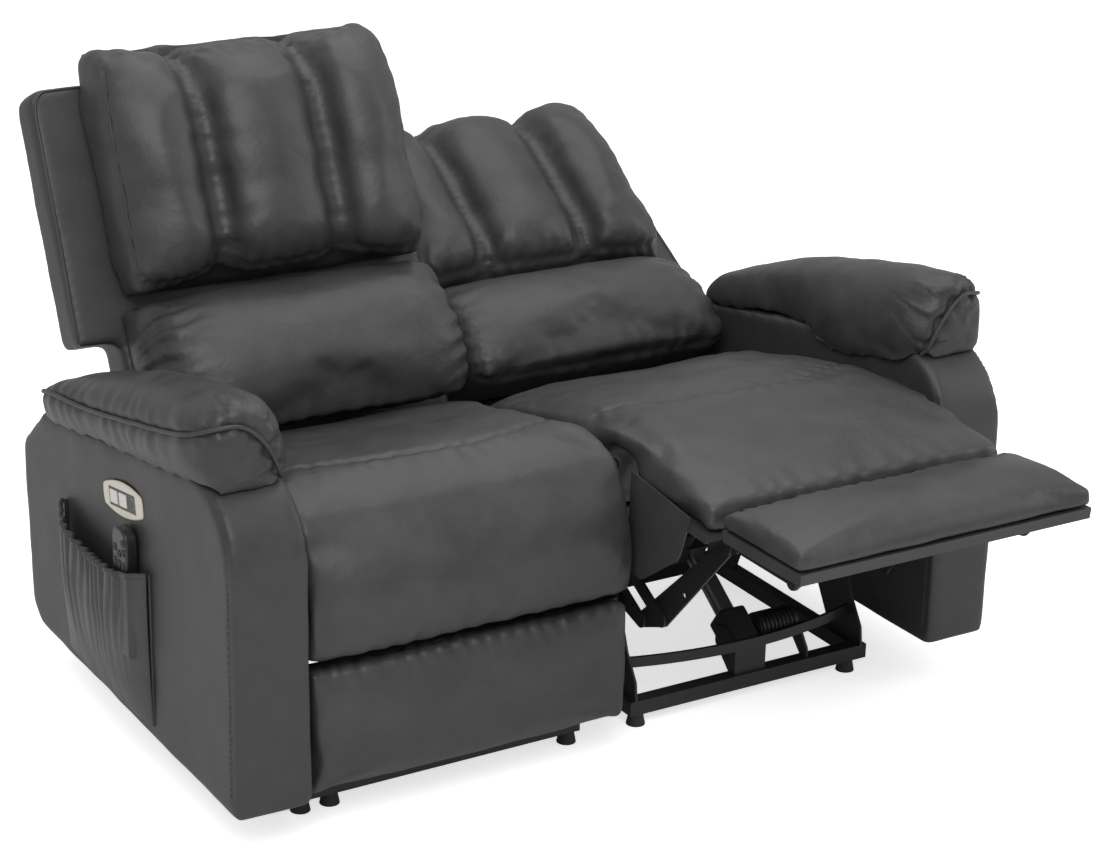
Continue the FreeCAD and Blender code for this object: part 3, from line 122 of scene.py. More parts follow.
for name, place, size, power in lamps:
    lamp = bpy.data.lights.new(name, "AREA")
    lamp.size = size
    lamp.energy = power
    holder = bpy.data.objects.new(name, lamp)
    scene.collection.objects.link(holder)
    holder.location = place
    holder.rotation_euler = (Vector((0, 0, 0.4)) - Vector(place)).to_track_quat("-Z", "Y").to_euler()
bpy.ops.object.select_all(action="DESELECT")

# Grey leather-look cover: a coated cloth with a fine pebble, soft creases and a faintly mottled tone.
# Every upholstered piece of the sofa is cut from it, so its pattern is one shader group with named inputs.
grain = bpy.data.node_groups.new("leather_grain", "ShaderNodeTree")
for socket, kind, value in (("Deep", "NodeSocketColor", (0.03, 0.03, 0.03, 1)),
                            ("Worn", "NodeSocketColor", (0.06, 0.06, 0.06, 1)),
                            ("Crease", "NodeSocketFloat", 0.5), ("Dull", "NodeSocketFloat", 0.5)):
    grain.interface.new_socket(name=socket, in_out="INPUT", socket_type=kind).default_value = value
for socket, kind in (("Tone", "NodeSocketColor"), ("Roughness", "NodeSocketFloat"),
                     ("Normal", "NodeSocketVector")):
    grain.interface.new_socket(name=socket, in_out="OUTPUT", socket_type=kind)
given = grain.nodes.new("NodeGroupInput")
out = grain.nodes.new("NodeGroupOutput")
place = grain.nodes.new("ShaderNodeTexCoord")


def patterned(kind, scale, detail=3.0, **other):
    """A noise or cell pattern on the piece's own coordinates."""
    node = grain.nodes.new(kind)
    node.inputs["Scale"].default_value = scale
    if "Detail" in node.inputs:
        node.inputs["Detail"].default_value = detail
    for name, value in other.items():
        node.inputs[name].default_value = value
    grain.links.new(place.outputs["Object"], node.inputs["Vector"])
    return node


broad = patterned("ShaderNodeTexNoise", 3.2, 4.0, Roughness=0.6)
cloudy = patterned("ShaderNodeTexNoise", 17.0, 5.0, Roughness=0.62)
creases = patterned("ShaderNodeTexNoise", 46.0, 3.0, Distortion=1.1)
pebble = patterned("ShaderNodeTexVoronoi", 620.0, 0.0)
blend_tone = grain.nodes.new("ShaderNodeMath")
blend_tone.operation = "MULTIPLY_ADD"
blend_tone.inputs[1].default_value = 0.55
grain.links.new(cloudy.outputs["Fac"], blend_tone.inputs[0])
spread = grain.nodes.new("ShaderNodeMath")
spread.operation = "MULTIPLY"
spread.inputs[1].default_value = 0.5
grain.links.new(broad.outputs["Fac"], spread.inputs[0])
grain.links.new(spread.outputs[0], blend_tone.inputs[2])
share = grain.nodes.new("ShaderNodeMapRange")
share.inputs["From Min"].default_value = 0.36
share.inputs["From Max"].default_value = 0.68
grain.links.new(blend_tone.outputs[0], share.inputs["Value"])
tone = grain.nodes.new("ShaderNodeMix")
tone.data_type = "RGBA"
grain.links.new(share.outputs[0], tone.inputs["Factor"])
grain.links.new(given.outputs["Deep"], tone.inputs["A"])
grain.links.new(given.outputs["Worn"], tone.inputs["B"])
grain.links.new(tone.outputs["Result"], out.inputs["Tone"])
dull = grain.nodes.new("ShaderNodeMath")
dull.operation = "MULTIPLY_ADD"
dull.inputs[1].default_value = 0.16
grain.links.new(cloudy.outputs["Fac"], dull.inputs[0])
grain.links.new(given.outputs["Dull"], dull.inputs[2])
grain.links.new(dull.outputs[0], out.inputs["Roughness"])
soft = grain.nodes.new("ShaderNodeBump")
soft.inputs["Distance"].default_value = 0.0016
grain.links.new(given.outputs["Crease"], soft.inputs["Strength"])
grain.links.new(creases.outputs["Fac"], soft.inputs["Height"])
fine = grain.nodes.new("ShaderNodeBump")
fine.inputs["Distance"].default_value = 0.0002
fine.inputs["Strength"].default_value = 0.5
grain.links.new(pebble.outputs["Distance"], fine.inputs["Height"])
grain.links.new(soft.outputs["Normal"], fine.inputs["Normal"])
grain.links.new(fine.outputs["Normal"], out.inputs["Normal"])


def covered(name, deep, worn, crease=0.5, dullness=0.36):
    """A leather finish in two close tones."""
    finish = bpy.data.materials.new(name)
    finish.use_nodes = True
    tree = finish.node_tree
    face = tree.nodes["Principled BSDF"]
    face.inputs["Specular IOR Level"].default_value = 0.42
    skin = tree.nodes.new("ShaderNodeGroup")
    skin.node_tree = grain
    skin.inputs["Deep"].default_value = (*deep, 1)
    skin.inputs["Worn"].default_value = (*worn, 1)
    skin.inputs["Crease"].default_value = crease
    skin.inputs["Dull"].default_value = dullness
    tree.links.new(skin.outputs["Tone"], face.inputs["Base Color"])
    tree.links.new(skin.outputs["Roughness"], face.inputs["Roughness"])
    tree.links.new(skin.outputs["Normal"], face.inputs["Normal"])
    return finish


grey_leather = covered("grey_leather", (0.027, 0.0275, 0.0285), (0.046, 0.046, 0.047))
taut_leather = covered("taut_leather", (0.027, 0.0275, 0.0285), (0.042, 0.042, 0.043), 0.22, 0.4)

# The two upper back cushions: leather bags of fibre, sewn into three upright channels over the shell's top.
# Each cover is blown up from a slightly smaller skin, then drawn in along its channel seams and at its ends.
back_lean = {"left": math.radians(23), "right": math.radians(56)}
outward = {"left": -1, "right": 1}


def on_back(seat, x, u, v):
    """A point of a back: x outward from its middle, u rearward and v up from its pivot."""
    pivot = Vector(joints[seat + "_back_recline"]["pos_m"])
    lean = back_lean[seat]
    y = pivot.y + u * math.cos(lean) + v * math.sin(lean)
    z = pivot.z - u * math.sin(lean) + v * math.cos(lean)
    return Vector((pivot.x + outward[seat] * x, y, z))


def shifted(piece, move):
    """Moves every point of a piece along its normal by move(place, index)."""
    normals = [vertex.normal.copy() for vertex in piece.data.vertices]
    places = [vertex.co.copy() for vertex in piece.data.vertices]
    flat = []
    for i, (place, normal) in enumerate(zip(places, normals)):
        flat.extend(place + normal * move(place, i))
    piece.data.vertices.foreach_set("co", flat)
    piece.data.update()


def stuffed(name, from_nodes, voxel, tuck, cap, held=None, pressure=4.0, filler=()):
    """A cover over the given solids: remeshed, drawn in by tuck, blown up as cloth, held within cap.

    Points for which held(spot, normal) is true stay put. Filler points close a gap between two solids.
    """
    skin = bmesh.new()
    for node in from_nodes:
        skin.from_mesh(nodes[node].data)
    bmesh.ops.remove_doubles(skin, verts=skin.verts, dist=1e-5)
    if filler:
        corners = [skin.verts.new(point) for point in filler]
        bmesh.ops.convex_hull(skin, input=corners)
    mesh = bpy.data.meshes.new(name)
    skin.to_mesh(mesh)
    skin.free()
    piece = bpy.data.objects.new(name, mesh)
    scene.collection.objects.link(piece)
    bpy.ops.object.select_all(action="DESELECT")
    piece.select_set(True)
    bpy.context.view_layer.objects.active = piece
    even = piece.modifiers.new("even", "REMESH")
    even.mode = "VOXEL"
    even.voxel_size = voxel
    bpy.ops.object.modifier_apply(modifier="even")
    ease = piece.modifiers.new("ease", "SMOOTH")
    ease.iterations = 3
    bpy.ops.object.modifier_apply(modifier="ease")
    if tuck:
        smaller = piece.modifiers.new("smaller", "DISPLACE")
        smaller.mid_level = 0
        smaller.strength = -tuck
        bpy.ops.object.modifier_apply(modifier="smaller")
    start = [v.co.copy() for v in piece.data.vertices]
    if pressure:
        cloth = piece.modifiers.new("fill", "CLOTH")
        cloth.settings.quality = 4
        cloth.settings.use_pressure = True
        cloth.settings.uniform_pressure_force = pressure
        cloth.settings.effector_weights.gravity = 0
        cloth.collision_settings.use_collision = False
        if held:
            pins = piece.vertex_groups.new(name="held")
            pins.add([v.index for v in piece.data.vertices if held(v.co, v.normal)], 1.0, "REPLACE")
            cloth.settings.vertex_group_mass = "held"
        cloth.point_cache.frame_start = 1
        cloth.point_cache.frame_end = 20
        for step in range(1, 21):
            scene.frame_set(step)
        blown = piece.evaluated_get(bpy.context.evaluated_depsgraph_get())
        moved = [v.co.copy() for v in blown.data.vertices]
        piece.modifiers.remove(cloth)
        piece.vertex_groups.clear()
        flat = []
        for a, b in zip(start, moved):
            step = b - a
            if step.length > cap:
                step *= cap / step.length
            flat.extend(a + step)
        piece.data.vertices.foreach_set("co", flat)
        piece.data.update()
        scene.frame_set(1)
    else:
        shifted(piece, lambda place, i: tuck)
    bpy.context.view_layer.update()
    rounder = piece.modifiers.new("rounder", "SMOOTH")
    rounder.iterations = 2
    bpy.ops.object.modifier_apply(modifier="rounder")
    finer = piece.modifiers.new("finer", "SUBSURF")
    finer.levels = 1
    finer.render_levels = 1
    bpy.ops.object.modifier_apply(modifier="finer")
    bpy.ops.object.shade_smooth()
    return piece


def through(points, step=0.005):
    """Evenly spaced points on a smooth line through the given ones."""
    ends = [points[0] * 2 - points[1]] + list(points) + [points[-1] * 2 - points[-2]]
    line = []
    for a, b, c, d in zip(ends, ends[1:], ends[2:], ends[3:]):
        count = max(2, int((c - b).length / step))
        for i in range(count):
            t = i / count
            line.append(0.5 * (2 * b + (c - a) * t + (2 * a - 5 * b + 4 * c - d) * t * t
                               + (3 * b - a - 3 * c + d) * t ** 3))
    line.append(Vector(points[-1]))
    return line


def laid_on(piece, points, rise=0.0, step=0.005):
    """The line through the points, laid on a cover's surface and lifted by rise."""
    bpy.context.view_layer.update()
    surface = BVHTree.FromObject(piece, bpy.context.evaluated_depsgraph_get())
    line = []
    for point in through(points, step):
        spot, normal, face, distance = surface.find_nearest(point)
        line.append(spot + normal * rise)
    for repeat in range(8):
        line[1:-1] = [(a + b * 2 + c) / 4 for a, b, c in zip(line, line[1:], line[2:])]
    return line


def drawn_in(piece, line, reach, depth, fold=0.0, pitch=0.02, fan=2.5, seed=0.0):
    """Pulls a cover in along a seam, with small folds that run away from it and die out."""
    tree = kdtree.KDTree(len(line))
    runs = [0.0]
    for i, point in enumerate(line):
        tree.insert(point, i)
        if i:
            runs.append(runs[-1] + (point - line[i - 1]).length)
    tree.balance()

    def pull(place, index):
        point, i, distance = tree.find(place)
        if distance > reach * fan * 2:
            return 0.0
        move = -depth * math.exp(-(distance / reach) ** 2)
        if fold:
            wave = runs[i] / pitch + 0.9 * noise.noise(Vector((runs[i] * 9, seed, distance * 14)))
            uneven = 0.55 + 0.9 * abs(noise.noise(Vector((runs[i] * 23, seed, 3))))
            fade = math.exp(-(distance / (reach * fan)) ** 2) * uneven
            move += fold * fade * math.sin(2 * math.pi * wave)
        return move

    shifted(piece, pull)


def rumpled(piece, size, height, seed):
    """Low, broad unevenness, as leather has over fibre."""
    def swell(place, index):
        spot = place / size
        return height * (noise.noise(spot + Vector((seed, 0, 0)))
                         + 0.5 * noise.noise(spot * 2.3 + Vector((0, seed, 0))))

    shifted(piece, swell)


def corded(name, line, thick, finish, sides=3):
    """A round piping along a line."""
    curve = bpy.data.curves.new(name, "CURVE")
    curve.dimensions = "3D"
    curve.bevel_depth = thick
    curve.bevel_resolution = sides
    curve.use_fill_caps = True
    run = curve.splines.new("POLY")
    run.points.add(len(line) - 1)
    for point, spot in zip(run.points, line):
        point.co = (*spot, 1)
    return as_mesh(name, curve, finish)


def as_mesh(name, curve, finish):
    """Turns a curve into a mesh piece with a finish."""
    shape = bpy.data.objects.new(name + "_line", curve)
    scene.collection.objects.link(shape)
    bpy.context.view_layer.update()
    mesh = bpy.data.meshes.new_from_object(shape.evaluated_get(bpy.context.evaluated_depsgraph_get()))
    bpy.data.objects.remove(shape)
    for face in mesh.polygons:
        face.use_smooth = True
    mesh.materials.clear()
    mesh.materials.append(finish)
    piece = bpy.data.objects.new(name, mesh)
    scene.collection.objects.link(piece)
    return piece


def stitched(name, line, finish, length=0.0055, pitch=0.009, thick=0.0006):
    """A row of thread stitches along a line of points a few millimetres apart."""
    curve = bpy.data.curves.new(name, "CURVE")
    curve.dimensions = "3D"
    curve.bevel_depth = thick
    curve.bevel_resolution = 0
    run = 0.0
    for a, b in zip(line, line[1:]):
        run += (b - a).length
        if run < pitch or (b - a).length == 0:
            continue
        run = 0.0
        way = (b - a).normalized() * length / 2
        stitch = curve.splines.new("POLY")
        stitch.points.add(1)
        stitch.points[0].co = (*(b - way), 1)
        stitch.points[1].co = (*(b + way), 1)
    return as_mesh(name, curve, finish)


thread = covered("grey_thread", (0.05, 0.05, 0.052), (0.09, 0.09, 0.092), 0.0, 0.5)
for seat in ("left", "right"):
    node = seat + "_back_cushion"
    rear = (on_back(seat, 0, 1, 0) - on_back(seat, 0, 0, 0)).normalized()
    cushion = stuffed(seat + "_channel_cushion", [node], 0.0105, 0.004, 0.014,
                      lambda spot, normal: normal.dot(rear) > 0.7, 2.5)
    rumpled(cushion, 0.11, 0.0035, 3.0 + outward[seat])
    for x in (0.118, -0.094):
        seam = [on_back(seat, x, u, v) for u, v in (
            (0.0, 0.368), (-0.02, 0.4), (-0.027, 0.45), (-0.024, 0.6), (-0.014, 0.7))]
        seam = laid_on(cushion, seam + [on_back(seat, x, 0.0, 0.75), on_back(seat, x, 0.05, 0.786)])
        drawn_in(cushion, seam, 0.026, 0.016)
        drawn_in(cushion, seam, 0.012, 0.002, 0.0014, 0.06, 5.0, x * 50)
    hem = laid_on(cushion, [on_back(seat, x, -0.03, 0.372) for x in (-0.25, -0.1, 0.05, 0.15, 0.27)])
    drawn_in(cushion, hem, 0.012, 0.004, 0.0024, 0.031, 3.6, 7.0)
    crest = laid_on(cushion, [on_back(seat, x, 0.0, 0.79) for x in (-0.25, -0.1, 0.05, 0.15, 0.27)])
    drawn_in(cushion, crest, 0.012, 0.002, 0.0022, 0.037, 4.0, 11.0)
    for x, sign in ((0.272, 1), (-0.248, -1)):
        edge = [on_back(seat, x, -0.028, v) for v in (0.39, 0.5, 0.62, 0.74)]
        edge = laid_on(cushion, edge, 0.0006)
        drawn_in(cushion, edge, 0.005, 0.003, 0.0011, 0.037, 6.0, 5.0 * sign)
        welt = corded("%s_cushion_edge_%d" % (seat, sign + 1), laid_on(cushion, edge[::6], 0.0004),
                      0.0016, taut_leather)
        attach(welt, seat + "_back")
    cushion.data.materials.clear()
    cushion.data.materials.append(grey_leather)
    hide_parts(node)
    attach(cushion, seat + "_back")

# The lumbar rolls: one leather panel over fibre, hemmed to the shell above and below.
# Their ends are drawn in hard, so that folds fan out from each end seam.
for seat in ("left", "right"):
    node = seat + "_lumbar_cushion"
    rear = (on_back(seat, 0, 1, 0) - on_back(seat, 0, 0, 0)).normalized()
    roll = stuffed(seat + "_lumbar_roll", [node], 0.0105, 0.004, 0.012,
                   lambda spot, normal: normal.dot(rear) > 0.7, 2.5)
    rumpled(roll, 0.1, 0.003, 8.0 + outward[seat])
    for x in (0.276, -0.276):
        end = laid_on(roll, [on_back(seat, x, -0.03 - 0.03 * math.sin((v - 0.12) * 13), v)
                             for v in (0.15, 0.2, 0.26, 0.32, 0.35)])
        drawn_in(roll, end, 0.02, 0.006, 0.0036, 0.035, 3.2, x * 30)
    for v, u in ((0.352, 0.03), (0.118, -0.06)):
        hem = laid_on(roll, [on_back(seat, x, u, v) for x in (-0.26, -0.1, 0.1, 0.26)])
        drawn_in(roll, hem, 0.01, 0.003, 0.0018, 0.041, 4.6, v * 40)
    roll.data.materials.clear()
    roll.data.materials.append(grey_leather)
    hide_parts(node)
    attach(roll, seat + "_back")

# The seats: foam in one leather cover that runs over the front roll and on down the chaise board.
# A seam crosses the top behind the roll, and the cover bends where the chaise swings on its hinge.
for seat in ("left", "right"):
    hinge = Vector(joints[seat + "_chaise_swing"]["pos_m"])
    foot = Vector(joints[seat + "_footrest_tilt"]["pos_m"])
    bridge = {"left": ((0.11, 0.515), (0.062, 0.506), (0.034, 0.478), (0.06, 0.45), (0.11, 0.47)),
              "right": ((0.15, 0.5), (0.15, 0.526), (0.11, 0.532),
                        (0.03, 0.53), (-0.05, 0.518), (-0.05, 0.49))}[seat]
    filler = [Vector((hinge.x + x, front + y, z)) for x in (-0.276, 0.276) for y, z in bridge]
    cover = stuffed(seat + "_seat_cover", [seat + "_seat_cushion", seat + "_chaise_pad"],
                    0.0115, 0.002, 0.010,
                    lambda spot, normal: spot.z < 0.4 and spot.y > front + 0.13
                    or Vector((0, spot.y - foot.y, spot.z - foot.z)).length < 0.04, 2.0, filler)
    rumpled(cover, 0.14, 0.003, 14.0 + outward[seat])
    middle = hinge.x
    top = 0.53
    seam = [Vector((middle - 0.26, front + 0.215, top)), Vector((middle - 0.13, front + 0.172, top)),
            Vector((middle, front + 0.163, top)), Vector((middle + 0.13, front + 0.172, top)),
            Vector((middle + 0.26, front + 0.215, top))]
    seam = laid_on(cover, seam)
    drawn_in(cover, seam, 0.006, 0.0045, 0.0016, 0.033, 6.0, 2.0)
    crease_line = laid_on(cover, [Vector((middle + x, front + 0.35, 0.5)) for x in (-0.2, -0.07, 0.08, 0.2)])
    drawn_in(cover, crease_line, 0.05, 0.004, 0.0012, 0.09, 1.5, 5.0)
    hem = laid_on(cover, [foot + Vector((x, 0, 0.0)) for x in (-0.27, -0.1, 0.1, 0.27)])
    drawn_in(cover, hem, 0.009, 0.002, 0.0014, 0.045, 5.0, 9.0)
    cover.data.materials.clear()
    cover.data.materials.append(grey_leather)
    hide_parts(seat + "_seat_cushion", seat + "_chaise_pad")
    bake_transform(cover)

# The footrests: a thin pad on a board, its leather turned over the board's edge and stapled behind.
# A crease is drawn in along the line between footrest and chaise.
for seat in ("left", "right"):
    foot = Vector(joints[seat + "_footrest_tilt"]["pos_m"])
    behind = {"left": Vector((0, 1, 0)), "right": Vector((0, 0, -1))}[seat]
    pad = stuffed(seat + "_footrest_cover", [seat + "_footrest_pad"], 0.0085, 0.001, 0.007,
                  lambda spot, normal: normal.dot(behind) > 0.6
                  or Vector((0, spot.y - foot.y, spot.z - foot.z)).length < 0.03, 2.0)
    rumpled(pad, 0.12, 0.0022, 20.0 + outward[seat])
    hem = laid_on(pad, [foot + Vector((x, 0, 0.0)) for x in (-0.26, -0.1, 0.1, 0.26)])
    drawn_in(pad, hem, 0.008, 0.002, 0.002, 0.028, 4.0, 13.0)
    pad.data.materials.clear()
    pad.data.materials.append(grey_leather)
    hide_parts(seat + "_footrest_pad")
    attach(pad, seat + "_footrest")

# The arm pads: pillow tops stuffed with fibre, piped along the outside and round the front.
# The leather is gathered into the piping at the front corner, so folds run back from it.
for seat in ("left", "right"):
    side = outward[seat]
    pad = stuffed(seat + "_arm_pillow", [seat + "_arm_pad"], 0.0095, 0.003, 0.012,
                  lambda spot, normal: normal.z < -0.6, 2.5)
    rumpled(pad, 0.1, 0.0035, 27.0 + side)
    long_run = [(0.72, 0.528), (0.649, 0.540), (0.489, 0.562), (0.277, 0.606), (0.161, 0.632), (0.100, 0.650)]
    piping = [Vector((side * 0.722, front + y, z)) for y, z in long_run]
    nose = [(0.700, 0.062, 0.668), (0.678, 0.045, 0.672), (0.649, 0.038, 0.665),
            (0.623, 0.038, 0.645), (0.601, 0.040, 0.619),
            (0.587, 0.045, 0.594), (0.575, 0.07, 0.560)]
    piping += [Vector((side * x, front + y, z)) for x, y, z in nose]
    line = laid_on(pad, piping)
    drawn_in(pad, line, 0.009, 0.004, 0.0014, 0.043, 4.5, 3.0 + side)
    gathers = laid_on(pad, [Vector((side * x, front + y, z)) for x, y, z in nose])
    drawn_in(pad, gathers, 0.014, 0.002, 0.0032, 0.03, 5.0, 17.0 + side)
    welt = corded(seat + "_arm_piping", [point for point in line], 0.0034, taut_leather)
    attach(welt, "frame")
    pad.data.materials.clear()
    pad.data.materials.append(grey_leather)
    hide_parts(seat + "_arm_pad")
    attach(pad, "frame")

# The arm casings: leather pulled tight over a boarded frame with a thin layer of foam.
# Double-stitched seams run up the front band on both edges.
for seat in ("left", "right"):
    side = outward[seat]
    casing = stuffed(seat + "_arm_cover", [seat + "_arm"], 0.009, 0.0, 0.0, None, 0.0)
    rumpled(casing, 0.16, 0.0022, 33.0 + side)
    outer = [(0.012, 0.10), (0.012, 0.3), (0.012, 0.46), (0.025, 0.518),
             (0.040, 0.546), (0.071, 0.568), (0.121, 0.580)]
    rows = [("outer", 0.7, outer), ("inner", 0.575, outer)]
    for word, x, run in rows:
        seam = laid_on(casing, [Vector((side * x, front + y, z)) for y, z in run])
        drawn_in(casing, seam, 0.005, 0.0018)
        row = laid_on(casing, [Vector((side * x, front + y + 0.006, z)) for y, z in run], 0.0005)
        stitches = stitched("%s_arm_%s_stitches" % (seat, word), row, thread)
        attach(stitches, "frame")
    casing.data.materials.clear()
    casing.data.materials.append(taut_leather)
    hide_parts(seat + "_arm")
    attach(casing, "frame")

# The back shells: board and thin foam under tight leather, with a wing behind the arm.
# A piping runs up the outer edge and over the top.
for seat in ("left", "right"):
    shell = stuffed(seat + "_back_cover", [seat + "_back_shell"], 0.009, 0.0, 0.0, None, 0.0)
    rumpled(shell, 0.16, 0.002, 41.0 + outward[seat])
    reach = 0.3525
    piping = [on_back(seat, reach, 0.075, v) for v in (0.31, 0.5, 0.69)]
    piping += [on_back(seat, reach - 0.02, 0.083, 0.722), on_back(seat, reach - 0.05, 0.084, 0.73),
               on_back(seat, 0.0, 0.084, 0.73),
               on_back(seat, -0.28, 0.084, 0.73)]
    line = laid_on(shell, piping, 0.0006)
    welt = corded(seat + "_back_piping", line, 0.0028, taut_leather)
    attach(welt, seat + "_back")
    shell.data.materials.clear()
    shell.data.materials.append(taut_leather)
    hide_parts(seat + "_back_shell")
    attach(shell, seat + "_back")

# Plain finishes of the hard parts: each has its own base, roughness and a fine surface pattern.
# Black paint on pressed steel, moulded plastics, drawn wire, extruded aluminium, plywood, rubber and cloth.
speckle = bpy.data.node_groups.new("fine_texture", "ShaderNodeTree")
for socket, kind, value in (("Base", "NodeSocketColor", (0.5, 0.5, 0.5, 1)),
                            ("Tint", "NodeSocketColor", (0.5, 0.5, 0.5, 1)),
                            ("Scale", "NodeSocketFloat", 60.0), ("Stretch", "NodeSocketVector", (1, 1, 1)),
                            ("Rough", "NodeSocketFloat", 0.4), ("Depth", "NodeSocketFloat", 0.2)):
    speckle.interface.new_socket(name=socket, in_out="INPUT", socket_type=kind).default_value = value
for socket, kind in (("Color", "NodeSocketColor"), ("Roughness", "NodeSocketFloat"),
                     ("Normal", "NodeSocketVector")):
    speckle.interface.new_socket(name=socket, in_out="OUTPUT", socket_type=kind)
given = speckle.nodes.new("NodeGroupInput")
out = speckle.nodes.new("NodeGroupOutput")
place = speckle.nodes.new("ShaderNodeTexCoord")
stretch = speckle.nodes.new("ShaderNodeVectorMath")
stretch.operation = "MULTIPLY"
speckle.links.new(place.outputs["Object"], stretch.inputs[0])
speckle.links.new(given.outputs["Stretch"], stretch.inputs[1])
spots = speckle.nodes.new("ShaderNodeTexNoise")
spots.inputs["Detail"].default_value = 5
speckle.links.new(stretch.outputs["Vector"], spots.inputs["Vector"])
speckle.links.new(given.outputs["Scale"], spots.inputs["Scale"])
mixed = speckle.nodes.new("ShaderNodeMix")
mixed.data_type = "RGBA"
speckle.links.new(spots.outputs["Fac"], mixed.inputs["Factor"])
speckle.links.new(given.outputs["Base"], mixed.inputs["A"])
speckle.links.new(given.outputs["Tint"], mixed.inputs["B"])
speckle.links.new(mixed.outputs["Result"], out.inputs["Color"])
worn = speckle.nodes.new("ShaderNodeMath")
worn.operation = "MULTIPLY_ADD"
worn.inputs[1].default_value = 0.2
speckle.links.new(spots.outputs["Fac"], worn.inputs[0])
speckle.links.new(given.outputs["Rough"], worn.inputs[2])
speckle.links.new(worn.outputs[0], out.inputs["Roughness"])
dents = speckle.nodes.new("ShaderNodeBump")
dents.inputs["Distance"].default_value = 0.0004
speckle.links.new(given.outputs["Depth"], dents.inputs["Strength"])
speckle.links.new(spots.outputs["Fac"], dents.inputs["Height"])
speckle.links.new(dents.outputs["Normal"], out.inputs["Normal"])


def finished(name, base, tint, scale=60.0, rough=0.35, depth=0.2, metal=0.0, stretch=(1, 1, 1)):
    """A hard finish with a fine pattern in two close colours."""
    finish = bpy.data.materials.new(name)
    finish.use_nodes = True
    tree = finish.node_tree
    face = tree.nodes["Principled BSDF"]
    face.inputs["Metallic"].default_value = metal
    texture = tree.nodes.new("ShaderNodeGroup")
    texture.node_tree = speckle
    texture.inputs["Base"].default_value = (*base, 1)
    texture.inputs["Tint"].default_value = (*tint, 1)
    texture.inputs["Scale"].default_value = scale
    texture.inputs["Stretch"].default_value = stretch
    texture.inputs["Rough"].default_value = rough
    texture.inputs["Depth"].default_value = depth
    tree.links.new(texture.outputs["Color"], face.inputs["Base Color"])
    tree.links.new(texture.outputs["Roughness"], face.inputs["Roughness"])
    tree.links.new(texture.outputs["Normal"], face.inputs["Normal"])
    return finish


black_paint = finished("black_paint", (0.008, 0.008, 0.009), (0.022, 0.022, 0.024), 90, 0.28, 0.25)
black_nylon = finished("black_nylon", (0.012, 0.012, 0.012), (0.02, 0.02, 0.021), 400, 0.42, 0.3)
drawn_wire = finished("drawn_wire", (0.3, 0.3, 0.31), (0.42, 0.42, 0.43), 80, 0.3, 0.1, 1.0)
extruded = finished("extruded_aluminium", (0.42, 0.42, 0.43), (0.5, 0.5, 0.51),
                    300, 0.32, 0.1, 1.0, (1, 0.05, 0.05))
plywood = finished("plywood", (0.42, 0.29, 0.16), (0.62, 0.46, 0.28), 26, 0.55, 0.3, 0.0, (0.25, 3, 3))
foot_rubber = finished("foot_rubber", (0.012, 0.012, 0.012), (0.03, 0.03, 0.03), 200, 0.65, 0.4)
dust_cloth = finished("dust_cloth", (0.01, 0.01, 0.01), (0.03, 0.03, 0.03), 700, 0.8, 0.8)
pale_plastic = finished("pale_bezel", (0.6, 0.55, 0.46), (0.68, 0.63, 0.54), 120, 0.3, 0.08)
button_plastic = finished("pale_button", (0.62, 0.62, 0.59), (0.7, 0.7, 0.67), 120, 0.3, 0.08)
black_plastic = finished("black_panel", (0.008, 0.008, 0.009), (0.016, 0.016, 0.018), 500, 0.25, 0.2)
plated = finished("plated_socket", (0.4, 0.4, 0.41), (0.5, 0.5, 0.51), 200, 0.25, 0.05, 1.0)
key_rubber = finished("key_rubber", (0.02, 0.02, 0.022), (0.035, 0.035, 0.038), 300, 0.5, 0.3)
finishes = {"black_steel": black_paint, "black_nylon": black_nylon, "spring_steel": drawn_wire,
            "rail_aluminium": extruded,
            "timber": plywood, "foot_rubber": foot_rubber,
            "dust_cloth": dust_cloth, "pale_plastic": pale_plastic,
            "button_plastic": button_plastic, "black_plastic": black_plastic, "socket_metal": plated,
            "key_rubber": key_rubber, "grey_leather": taut_leather}
for entry in frame["record"]["subparts"]:
    shape = nodes[entry["node"]]
    shape.data.materials.clear()
    shape.data.materials.append(finishes[entry["material_slot"]])
for seat in ("left", "right"):
    nodes[seat + "_chaise_board"].data.materials[0] = dust_cloth
    nodes[seat + "_seat_box"].data.materials[0] = taut_leather

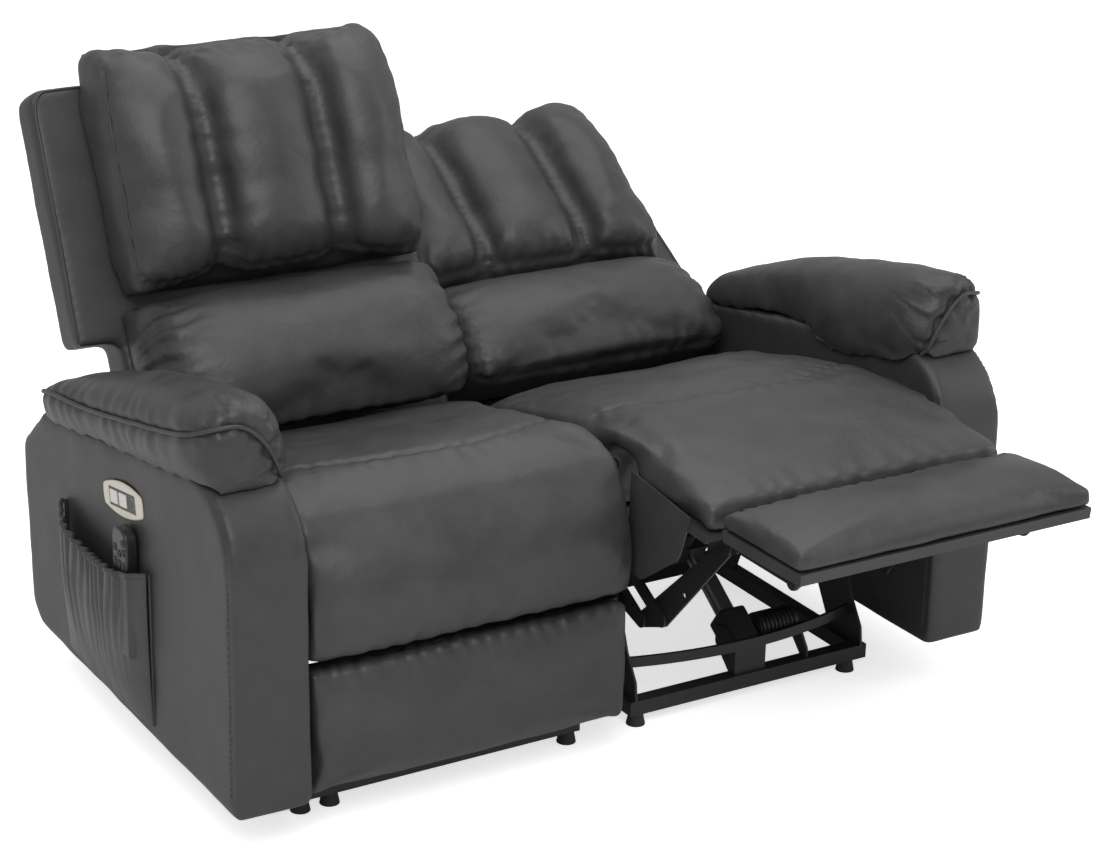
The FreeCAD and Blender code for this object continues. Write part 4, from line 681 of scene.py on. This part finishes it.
# The side pockets: a leather pouch sewn to the arm at its sides and foot, its top hem drawn up by elastic.
# The hem sags between its ends and throws pleats that run down and fade out in the belly.
for seat in ("left", "right"):
    side = outward[seat]
    low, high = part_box(seat + "_side_pocket")
    across = 120
    tall = 60
    wall_face = 0.7005
    deepest = 0.0345
    pleats = 15
    bpy.ops.object.select_all(action="DESELECT")
    bpy.ops.mesh.primitive_grid_add(x_subdivisions=across, y_subdivisions=tall, size=1, location=(0, 0, 0))
    pouch = bpy.context.object
    pouch.name = seat + "_pouch"
    flat = []
    for vertex in pouch.data.vertices:
        s = vertex.co.x + 0.5
        t = vertex.co.y + 0.5
        middle = 1 - (2 * s - 1) ** 2
        hem = high.z - 0.026 * middle
        round_side = min(1.0, 4.6 * min(s, 1 - s) + 0.04) ** 0.5
        belly = 0.006 + 0.027 * math.sin(math.pi * min(1.0, 0.62 * t + 0.02)) ** 0.8
        shift = 0.8 * noise.noise(Vector((s * 5, side, t * 1.5)))
        pleat = 0.0042 * t ** 2.2 * math.sin(2 * math.pi * (pleats * s + shift))
        fold = 0.0026 * noise.noise(Vector((s * 7, 4 + side, t * 3)))
        out = belly * round_side + (pleat + fold) * round_side * min(1, 5 * min(s, 1 - s))
        y = low.y + s * (high.y - low.y)
        if seat == "left" and abs(y - front - 0.363) < 0.04 and t > 0.45:
            out = max(out, 0.0262)
        flat.extend((side * (wall_face + min(out, deepest)), y, low.z + t * (hem - low.z)))
    pouch.data.vertices.foreach_set("co", flat)
    pouch.data.update()
    top_row = [Vector(flat[3 * i:3 * i + 3]) for i in range((across + 1) * tall, (across + 1) * (tall + 1))]
    wall = pouch.modifiers.new("wall", "SOLIDIFY")
    wall.thickness = 0.0016
    bpy.ops.object.modifier_apply(modifier="wall")
    bpy.ops.object.shade_smooth()
    pouch.data.materials.clear()
    pouch.data.materials.append(grey_leather)
    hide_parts(seat + "_side_pocket")
    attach(pouch, "frame")
    edge = [point + Vector((0, 0, -0.002)) for point in top_row]
    hem_roll = corded(seat + "_pouch_hem", edge, 0.0042, grey_leather)
    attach(hem_roll, "frame")
    for word, s in (("front", low.y + 0.002), ("rear", high.y - 0.002)):
        sewn = [Vector((side * 0.7015, s, z)) for z in (low.z, (low.z + high.z) / 2, high.z - 0.002)]
        piping = corded("%s_pouch_%s_piping" % (seat, word), through(sewn), 0.0028, taut_leather)
        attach(piping, "frame")
